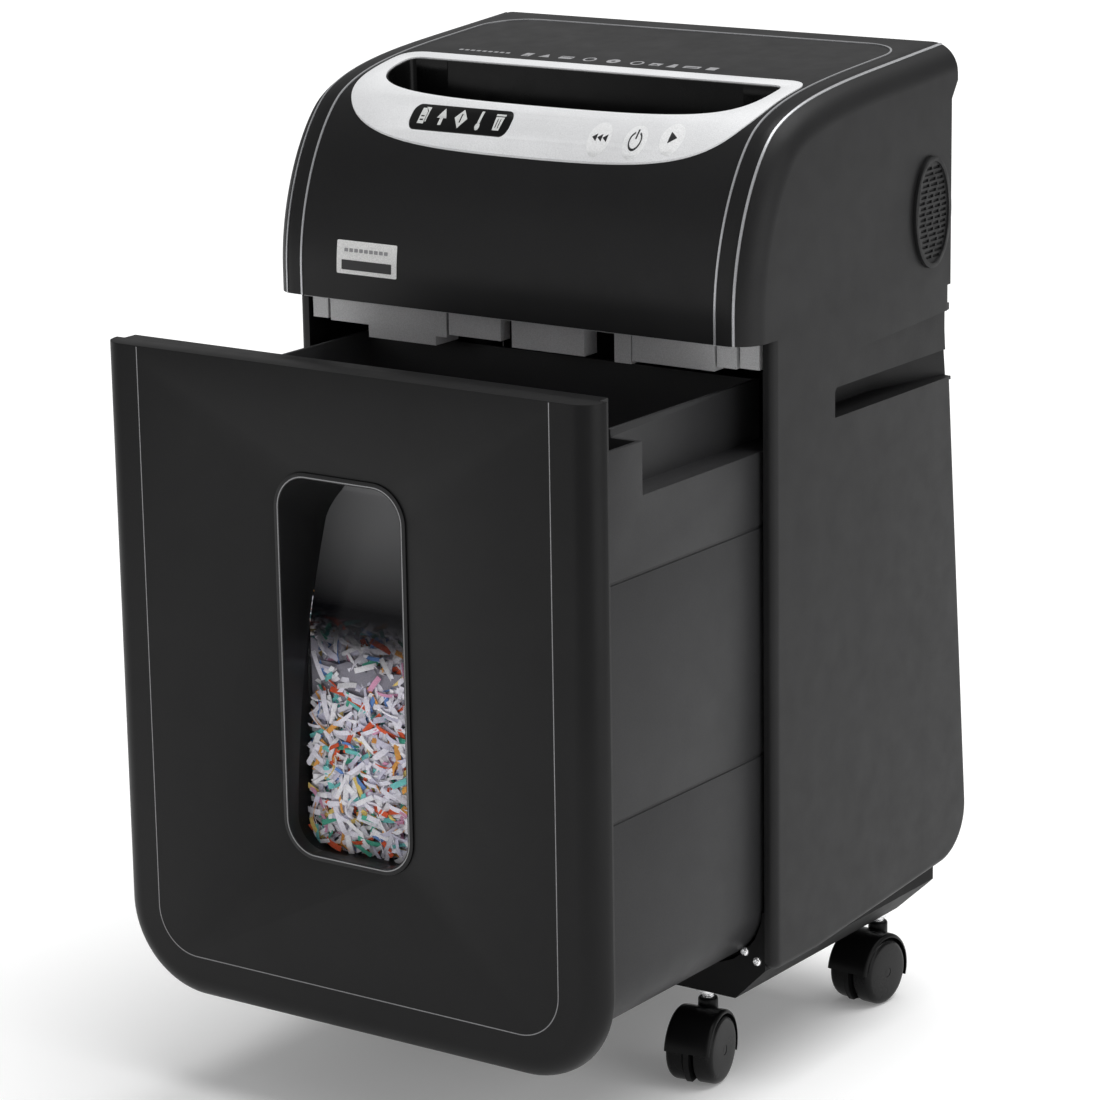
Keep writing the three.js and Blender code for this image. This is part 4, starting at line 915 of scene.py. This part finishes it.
def shreds():
    """A loose fill of curled paper strips, behind the pane and level across the bin."""
    palette = [colour for colour, share in SHRED_COLOURS for _ in range(share)]
    points, faces, tints = [], [], []

    def strip(centre, length, width, heading, pitch, roll, curl, colour):
        turn = (
            Matrix.Rotation(heading, 3, "Z")
            @ Matrix.Rotation(pitch, 3, "Y")
            @ Matrix.Rotation(roll, 3, "X")
        )
        first = len(points)
        steps = 5
        for k in range(steps + 1):
            along = (k / steps - 0.5) * length
            lift = curl * (1 - (2 * k / steps - 1) ** 2)
            for across in (-width / 2, width / 2):
                for thick in (-0.12, 0.12):
                    spot = turn @ Vector((along, across, lift + thick))
                    points.append(tuple(spot + Vector(centre)))
        for k in range(steps):
            a = first + 4 * k
            b = a + 4
            faces.extend([
                (a, b, b + 2, a + 2), (a + 1, a + 3, b + 3, b + 1),
                (a, a + 1, b + 1, b), (a + 2, b + 2, b + 3, a + 3),
            ])
            tints.extend([colour] * 4)
        end = first + 4 * steps
        faces.extend([(first, first + 2, first + 3, first + 1), (end, end + 1, end + 3, end + 2)])
        tints.extend([colour] * 2)

    for _ in range(1650):
        z = random.uniform(WINDOW_BOTTOM - 3, WINDOW_BOTTOM + 127)
        x = random.uniform(-44, 44)
        y = pane_y(z) + 10.5 + random.uniform(0, 9)
        strip(
            (x, y, z), random.uniform(9, 19), random.uniform(2.2, 3.6), random.uniform(-0.35, 0.35),
            random.uniform(-1.5, 1.5), math.pi / 2 + random.uniform(-0.7, 0.7),
            random.uniform(-2.5, 2.5), random.choice(palette),
        )
    for _ in range(1300):
        x = random.uniform(-145, 145)
        y = random.uniform(TUB_FRONT + 48, TUB_BACK - 14)
        z = WINDOW_BOTTOM + 118 + random.uniform(-4, 4) - 12 * (abs(x) / 150) ** 2
        strip(
            (x, y, z), random.uniform(12, 24), random.uniform(2.6, 4), random.uniform(-3.1, 3.1),
            random.uniform(-0.5, 0.5), random.uniform(-0.6, 0.6), random.uniform(-3, 3),
            random.choice(palette),
        )
    made = build("paper_shreds", points, faces, BIN_SHIFT)
    return made, tints


def paint(made, colours):
    layer = made.data.color_attributes.new("tint", "FLOAT_COLOR", "CORNER")
    for polygon in made.data.polygons:
        for loop in polygon.loop_indices:
            layer.data[loop].color = (*colours[polygon.index], 1)


loose, loose_tints = shreds()
paint(loose, loose_tints)
finish(loose, "paper_shreds", "bin", shred_material(), angle=60)


def shred_bed():
    """A lumpy bed that carries the loose shreds, so nothing shows between them; it stands for the
    deeper shreds, and its darker grey is painted shade between the strips.
    """
    across, along = 46, 30
    back = TUB_BACK - 4
    front = TUB_FRONT + 4
    floor = TUB_BOTTOM + 44
    points, faces = [], []
    for i in range(across + 1):
        for j in range(along + 1):
            x = (2 * i / across - 1) * (BIN_HALF - 4)
            y = front + (back - front) * j / along
            rise = WINDOW_BOTTOM + 112 - 12 * (abs(x) / 150) ** 2 + random.uniform(-3, 3)
            points.append((x, y, rise))
    for i in range(across):
        for j in range(along):
            a = i * (along + 1) + j
            faces.append((a, a + along + 1, a + along + 2, a + 1))
    rim = [i * (along + 1) for i in range(across + 1)]
    rim += [across * (along + 1) + j for j in range(1, along + 1)]
    rim += [i * (along + 1) + along for i in reversed(range(across))]
    rim += [j for j in reversed(range(1, along))]
    low = len(points)
    points += [(points[k][0], points[k][1], floor) for k in rim]
    count = len(rim)
    for k in range(count):
        n = (k + 1) % count
        faces.append((rim[k], rim[n], low + n, low + k))
    faces.append(tuple(low + k for k in range(count)))
    made = build("shred_bed", points, faces, BIN_SHIFT)
    line = [(y, z) for y, z in pane_line() if WINDOW_BOTTOM - 1 <= z <= WINDOW_BOTTOM + 124]
    wedge = [(y + 20, z) for y, z in line]
    wedge += [(front + 9, line[-1][1]), (front + 9, line[0][1])]
    return join(made, prism("X", wedge, -45, 45, BIN_SHIFT))


# The bed's grey, darker than the shreds, is painted shade between the loose strips.
SHRED_BED_SHADE = plastic("shred_bed", (0.3, 0.29, 0.34), 0.8, specular=0.1)
finish(shred_bed(), "shred_bed", "bin", SHRED_BED_SHADE, angle=60)


# ---- Casters ----
HOOD_WALL = WHEEL_RADIUS + 3.5
WHEEL_INNER = 2.4
WHEEL_OUTER = 16.4
AXLE_Z = WHEEL_RADIUS
HOOD_TOP = 2 * WHEEL_RADIUS + 3.5


def placed(piece, x, y, turn):
    """The piece moved from the swivel's line at the origin to its place, turned round that line."""
    where = Matrix.Translation(Vector((x, y + SHIFT, 0)) * MM)
    piece.data.transform(where @ Matrix.Rotation(math.radians(turn), 4, "Z"))
    return piece


def on_axle(profile, sides=56):
    return turned(profile, (0, -CASTER_TRAIL - SHIFT, AXLE_Z), (1, 0, 0), sides)


def drum(radius, half, sides=56):
    """A plain round form on the axle."""
    return on_axle([(0, -half), (radius, -half), (radius, half), (0, half)], sides)


def upright(profile, sides=40):
    return turned(profile, (0, -SHIFT, 0), (0, 0, 1), sides)


def rolled_edge(radius, along, edge, inwards, steps=5):
    """Profile points round an edge, from the rim to the face."""
    points = []
    for k in range(steps + 1):
        angle = math.radians(90 * k / steps)
        points.append((
            radius - edge * (1 - math.cos(angle)),
            along - inwards * edge * (1 - math.sin(angle)),
        ))
    return points


def wheel():
    face = WHEEL_OUTER
    profile = [(3.15, WHEEL_INNER), (WHEEL_RADIUS - 1.5, WHEEL_INNER)]
    profile += [(WHEEL_RADIUS, WHEEL_INNER + 1.5)]
    profile += rolled_edge(WHEEL_RADIUS, face - 0.4, 4.2, 1, 8)
    profile += [(14, face - 0.15), (8, face - 0.02), (3.4, face), (3.1, face - 0.3)]
    profile += [(2.5, face - 0.3), (0, face), (0, face - 2.6), (3.15, face - 2.6)]
    return on_axle(profile)


def hood():
    half = WHEEL_INNER + 13.0
    edge = rolled_edge(HOOD_WALL, half, 2.6, 1)
    shell = [(0, -half)] + [(r, -a) for r, a in reversed(edge)] + edge + [(0, half)]
    made = on_axle(shell)
    front = -CASTER_TRAIL - HOOD_WALL
    back = -CASTER_TRAIL + HOOD_WALL
    top = AXLE_Z + HOOD_WALL
    room = prism(
        "X",
        [
            (front - 1, AXLE_Z + 4),
            (back - 6, AXLE_Z - 8),
            (back + 1, AXLE_Z - 8),
            (back + 1, top + 9),
            (front - 1, top + 9),
        ],
        -half - 1,
        half + 1,
        0,
    )
    web = keep(drum(HOOD_WALL - 0.5, 1.9), box(-half, half, front, back, 5, top, 0))
    neck = upright([
        (0, AXLE_Z + 8), (6.4, AXLE_Z + 8), (6.4, HOOD_TOP + 2.6), (5.9, HOOD_TOP + 3.6),
        (5.2, HOOD_TOP + 4), (0, HOOD_TOP + 4),
    ])
    cut(neck, drum(WHEEL_RADIUS + 1, half + 1))
    cut(made, drum(WHEEL_RADIUS + 1, half + 1))
    keep(made, room)
    join(made, web, neck)
    cut(made, drum(3.15, half, 24))
    seat = 2 * WHEEL_RADIUS + 1.5
    seat_top = HOOD_TOP + 9
    return cut(made, upright([(0, seat), (4.15, seat), (4.15, seat_top), (0, seat_top)], 24))


def stem():
    foot = 2 * WHEEL_RADIUS + 1.8
    return upright([
        (0, foot), (3.4, foot), (4, foot + 0.6), (4, HOOD_TOP + 4.6), (3.2, HOOD_TOP + 5.2),
        (3.2, HOOD_TOP + 6.4), (5.4, HOOD_TOP + 6.9), (5.4, BASE_BOTTOM - 3.6),
        (7.1, BASE_BOTTOM - 3.3), (7.5, BASE_BOTTOM - 2.9), (7.5, BASE_BOTTOM - 0.8),
        (7.1, BASE_BOTTOM - 0.3), (4, BASE_BOTTOM - 0.3), (4, BASE_BOTTOM + 13), (0, BASE_BOTTOM + 14),
    ])


wheel_form = wheel()
CASTER_PIECES = (
    ("hood", hood(), "caster", HOOD_BLACK, "caster_black"),
    ("stem", stem(), "caster", CASTER_STEEL, "caster_steel"),
    ("wheel_a", wheel_form, "wheel_a", WHEEL_BLACK, "wheel_black"),
    ("wheel_b", mirrored(wheel_form), "wheel_b", WHEEL_BLACK, "wheel_black"),
)
for place, (x, y, turn) in CASTERS.items():
    for kind, pattern, rider, material, slot in CASTER_PIECES:
        finish(placed(copied(pattern), x, y, turn), f"{kind}_{place}", f"{rider}_{place}",
               material, [f"caster_{kind}_{place}"], angle=38)
for kind, pattern, rider, material, slot in CASTER_PIECES:
    bpy.data.objects.remove(pattern)


# ---- Printed signs, label and screws ----
def polygon(x, y, *points):
    return [(x + a, y + b) for a, b in points]


SIGN_LOW = BROW[1] - 50


def sign(shape):
    return through(shape, SIGN_LOW)


def sign_hole(shape):
    return prism("Z", shape, SIGN_LOW - 10, ABOVE + 9)


def printed(name, material, made, low, high):
    """Thin raised signs that follow the head's surface, drawn in plan."""
    keep(made, head_form(-high))
    cut(made, head_form(-low))
    return finish(made, name, "cabinet", material, angle=50)


def drawn(shapes, holes):
    made = gathered("signs", [sign(shape) for shape in shapes])
    return cut(made, gathered("holes", [sign_hole(hole) for hole in holes]))


SIGN_Y = INDICATOR[1]
SIGN_X = [INDICATOR[0] + 14.4 * k for k in range(-2, 3)]
signs = [
    polygon(SIGN_X[0], SIGN_Y, (-2.6, -4), (2.0, -4), (2.0, 2), (0.2, 4), (-2.6, 4)),
    polygon(SIGN_X[0], SIGN_Y, (2.5, -3), (3.4, -3), (3.4, 4.6), (-0.6, 4.6), (0.5, 4.0), (2.5, 2.4)),
    polygon(SIGN_X[1], SIGN_Y, (-3.6, -0.6), (-1.2, -0.6), (-1.2, -4), (1.2, -4), (1.2, -0.6),
            (3.6, -0.6), (0, 4.6)),
    polygon(SIGN_X[2], SIGN_Y, (0, -4.8), (4.8, 0), (0, 4.8), (-4.8, 0)),
    polygon(SIGN_X[3], SIGN_Y, (-0.9, -1.5), (0.9, -1.5), (0.9, 4.8), (-0.9, 4.8)),
    circle(SIGN_X[3], SIGN_Y - 3.2, 1.7),
    polygon(SIGN_X[4], SIGN_Y, (-2.4, -4.2), (2.4, -4.2), (3.2, 2.4), (-3.2, 2.4)),
    polygon(SIGN_X[4], SIGN_Y, (-3.6, 3.0), (3.6, 3.0), (3.6, 4.0), (-3.6, 4.0)),
]
sign_holes = [
    polygon(SIGN_X[0], SIGN_Y, (-1.6, -2.6), (1.0, -2.6), (1.0, -1.8), (-1.6, -1.8)),
    polygon(SIGN_X[0], SIGN_Y, (-1.6, -0.8), (1.0, -0.8), (1.0, 0.0), (-1.6, 0.0)),
    polygon(SIGN_X[2], SIGN_Y, (-0.5, -2.2), (0.5, -2.2), (0.5, 2.4), (-0.5, 2.4)),
    polygon(SIGN_X[4], SIGN_Y, (-1.3, -3.2), (-0.6, -3.2), (-0.6, 1.4), (-1.3, 1.4)),
    polygon(SIGN_X[4], SIGN_Y, (0.6, -3.2), (1.3, -3.2), (1.3, 1.4), (0.6, 1.4)),
]
printed("indicator_signs", PRINT_PALE, drawn(signs, sign_holes), 0.76, 0.88)

KEYS = {"reverse": (52, -86), "power": (78, -86), "feed": (103, -83)}
halos = [sign(circle(x, y, 8, 40)) for x, y in KEYS.values()]
printed("key_halos", KEY_SILVER, gathered("halos", halos), 0.61, 0.66)
x, y = KEYS["reverse"]
key_signs = [polygon(x - 5.2 + 3.8 * k, y, (0, 0), (3.3, -1.7), (3.3, 1.7)) for k in range(3)]
key_signs.append(polygon(*KEYS["feed"], (-2.0, -2.9), (3.4, 0), (-2.0, 2.9)))


def power_sign():
    x, y = KEYS["power"]
    hoop = sign(circle(x, y, 4.5, 40))
    cut(hoop, sign_hole(circle(x, y, 3.6, 40)))
    cut(hoop, sign_hole(polygon(x, y, (-1.7, 2), (1.7, 2), (1.7, 7), (-1.7, 7))))
    bar = sign(polygon(x, y, (-0.5, 0.8), (0.5, 0.8), (0.5, 5.6), (-0.5, 5.6)))
    return gathered("power", [hoop, bar])


marks = gathered("marks", [power_sign()] + [sign(shape) for shape in key_signs])
printed("key_signs", PRINT_BLACK, marks, 0.67, 0.8)

# A row of small pictures of what may be fed in stands behind the silver edge.
ROW_Y = 9.5
ROUND_ITEMS = {-20: 3.2, -2: 1.5, 16: 3.2}
row = [
    rectangle(-122 + 4.6 * k, -119 + 4.6 * k, ROW_Y - 1.4, ROW_Y + 1.4, 0.6, 3) for k in range(9)
]
row += [
    polygon(-68, ROW_Y, (-3, -4), (3, -4), (3, 4), (-3, 4)),
    polygon(-54, ROW_Y, (-4, -3), (4, -3), (0, 4.4)),
    rectangle(-43, -33, ROW_Y - 3.2, ROW_Y + 3.2, 1.0, 3),
    *[circle(x, ROW_Y, 4.6) for x in ROUND_ITEMS],
    polygon(30, ROW_Y, (-4, -3), (4, -3), (4, 3), (-4, 3)),
    polygon(43, ROW_Y, (-3.4, -4), (3.4, -4), (1.6, 4), (-1.6, 4)),
    rectangle(51, 63, ROW_Y - 2.6, ROW_Y + 2.6, 1.0, 3),
    polygon(72, ROW_Y, (-3.4, -3.4), (3.4, -3.4), (3.4, 3.4), (-3.4, 3.4)),
]
row_holes = [
    polygon(-68, ROW_Y, (-1.8, -2.8), (1.8, -2.8), (1.8, -1.6), (-1.8, -1.6)),
    polygon(-38, ROW_Y, (-4, 0.6), (4, 0.6), (4, 1.9), (-4, 1.9)),
    *[circle(x, ROW_Y, radius) for x, radius in ROUND_ITEMS.items()],
    polygon(30, ROW_Y, (-3, -2), (3, -2), (0, 0.6)),
    polygon(57, ROW_Y, (-4.4, -1.2), (4.4, -1.2), (4.4, 0.2), (-4.4, 0.2)),
]
printed("item_row", PRINT_GREY, drawn(row, row_holes), 0.0, 0.12)


def on_front(outline, lift, thick):
    """A thin slab on the head's front, drawn as seen from the front."""
    slab = prism("Y", outline, FRONT - 5, FRONT + 20)
    keep(slab, head_form(-lift - thick))
    return cut(slab, head_form(-lift))


LABEL_LEFT = -127.0
LABEL_BOTTOM = HEAD_BOTTOM + 17


def on_label(x0, x1, z0, z1, radius, steps, lift, thick=0.12):
    outline = rectangle(LABEL_LEFT + x0, LABEL_LEFT + x1, LABEL_BOTTOM + z0, LABEL_BOTTOM + z1,
                        radius, steps)
    return on_front(outline, lift, thick)


plate = on_label(0, 47, 0, 21, 1.0, 4, 0.05, 0.2)
dashes = [on_label(6 + 3.9 * k, 8.8 + 3.9 * k, 14.1, 16.3, 0.3, 3, 0.3) for k in range(9)]
bar = on_label(4, 43, 2.7, 8.9, 0.4, 3, 0.3)
finish(plate, "label", "cabinet", LABEL_WHITE, angle=50)
finish(gathered("dashes", dashes), "label_line", "cabinet", PRINT_GREY, angle=50)
finish(bar, "label_bar", "cabinet", PRINT_BLACK, angle=50)


def screw(x, y, z, facing, radius=3.4):
    """A domed screw head with a cross recess."""
    head = turned(
        [(0, -0.6), (radius, -0.6), (radius, 0.3), (radius * 0.86, 1.0), (radius * 0.5, 1.5),
         (0, 1.7)],
        (x, y, z), (0, facing, 0), 28,
    )
    recess = y + facing * 1.4
    for wide, tall in ((0.55, radius * 0.55), (radius * 0.55, 0.55)):
        cut(head, box(x - wide, x + wide, recess - 0.8, recess + 0.8, z - tall, z + tall))
    return head


BASE_FACE = FRONT + 27.6
BASE_SCREWS = ((157, 91), (166, 86))
screws = [screw(side * x, BASE_FACE, z, -1, 2.9) for side in (-1, 1) for x, z in BASE_SCREWS]
finish(gathered("screws", screws), "base_screws", "cabinet", CASTER_STEEL, angle=40)
REAR_SCREWS = ((160, BACK, 590), (158, BACK - 1, 440))
rear_screws = [screw(side * x, y, z, 1) for x, y, z in REAR_SCREWS for side in (-1, 1)]
finish(gathered("screws", rear_screws), "rear_screws", "cabinet", GEAR_STEEL, angle=40)

# ---- Finishes of the CAD nodes that stay ----
NODE_FINISHES = {
    "base_tray": INNER_BLACK,
    "back_panel": TUB_BLACK,
    "bin_runner": FRAME_GREY,
    "head_underframe": FRAME_GREY,
    "cord_gland": GLAND_RUBBER,
    "switch_frame": INNER_BLACK,
    "power_rocker": WHEEL_BLACK,
    "control_board": BOARD_GREEN,
    "bin_sensor": INNER_BLACK,
    "gearbox": INNER_BLACK,
    "motor": GEAR_STEEL,
    "cutter": GEAR_STEEL,
    "timing_gear": GEAR_STEEL,
    "idler_gear": GEAR_STEEL,
    "motor_pinion": GEAR_STEEL,
    "stripper_comb": GEAR_STEEL,
    "caster_axle": GEAR_STEEL,
}
for name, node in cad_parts.items():
    fitting = [key for key in NODE_FINISHES if name.startswith(key)]
    material = NODE_FINISHES[max(fitting, key=len)] if fitting else INNER_BLACK
    if not node.material_slots:
        node.data.materials.append(material)
    for place in node.material_slots:
        place.material = material

# ---- Floor, light and camera ----
def floor_material():
    material, tree, shader, place = principled(
        "floor_white", roughness=0.9, specular=0.05, emission_color=(1, 1, 1, 1),
        emission_strength=0.14,
    )
    colour = tinted(tree, (0.93, 0.93, 0.93), noise(tree, place, 0.8), 0.995, 1.005)
    tree.links.new(colour, shader.inputs["Base Color"])
    return material


bpy.ops.object.select_all(action="DESELECT")
bpy.ops.mesh.primitive_plane_add(size=60, location=(0, 0, 0))
floor = bpy.context.view_layer.objects.active
floor.name = "floor"
floor.data.materials.append(floor_material())


def area_light(name, place, size, power):
    """A square lamp aimed at the middle of the cabinet."""
    data = bpy.data.lights.new(name, "AREA")
    data.energy = power
    data.size = size
    lamp = added(name, data)
    lamp.location = place
    aim = Vector((0, 0, 0.3)) - Vector(place)
    lamp.rotation_euler = aim.to_track_quat("-Z", "Y").to_euler()


area_light("side_panel_light", (2.4, -0.2, 0.9), 1.8, 14)
area_light("front_light", (-1.0, -2.6, 0.9), 1.6, 6)
sky = bpy.data.lights.new("overhead_light", "SUN")
sky.energy = 2.7
sky.angle = math.radians(60)
added("overhead_light", sky).rotation_euler = (math.radians(-12), math.radians(10), 0)

world = bpy.data.worlds.new("studio")
world.use_nodes = True
backdrop = world.node_tree.nodes["Background"]
backdrop.inputs["Color"].default_value = (1, 1, 1, 1)
backdrop.inputs["Strength"].default_value = 0.3
bpy.context.scene.world = world
bpy.context.scene.view_settings.view_transform = "Standard"
bpy.context.scene.view_settings.look = "None"


CAMERA_AWAY = 2.69467
LENS = 134.506


def studio_camera():
    """A long lens, turned to the object's front right corner and a little down."""
    azimuth, elevation, roll = (math.radians(a) for a in (35.24669, 14.50935, -0.94783))
    target = Vector((-0.05468, 0.006 + SHIFT * MM, 0.29821))
    back = Vector((
        math.sin(azimuth) * math.cos(elevation),
        -math.cos(azimuth) * math.cos(elevation),
        math.sin(elevation),
    ))
    level = Vector((math.cos(azimuth), math.sin(azimuth), 0))
    rise = back.cross(level)
    right = level * math.cos(roll) + rise * math.sin(roll)
    up = rise * math.cos(roll) - level * math.sin(roll)
    data = bpy.data.cameras.new("camera")
    data.lens = LENS
    data.sensor_width = 36
    camera = added("camera", data)
    turn = Matrix((right, up, back)).transposed().to_4x4()
    camera.matrix_world = Matrix.Translation(target + back * CAMERA_AWAY) @ turn
    bpy.context.scene.camera = camera


studio_camera()
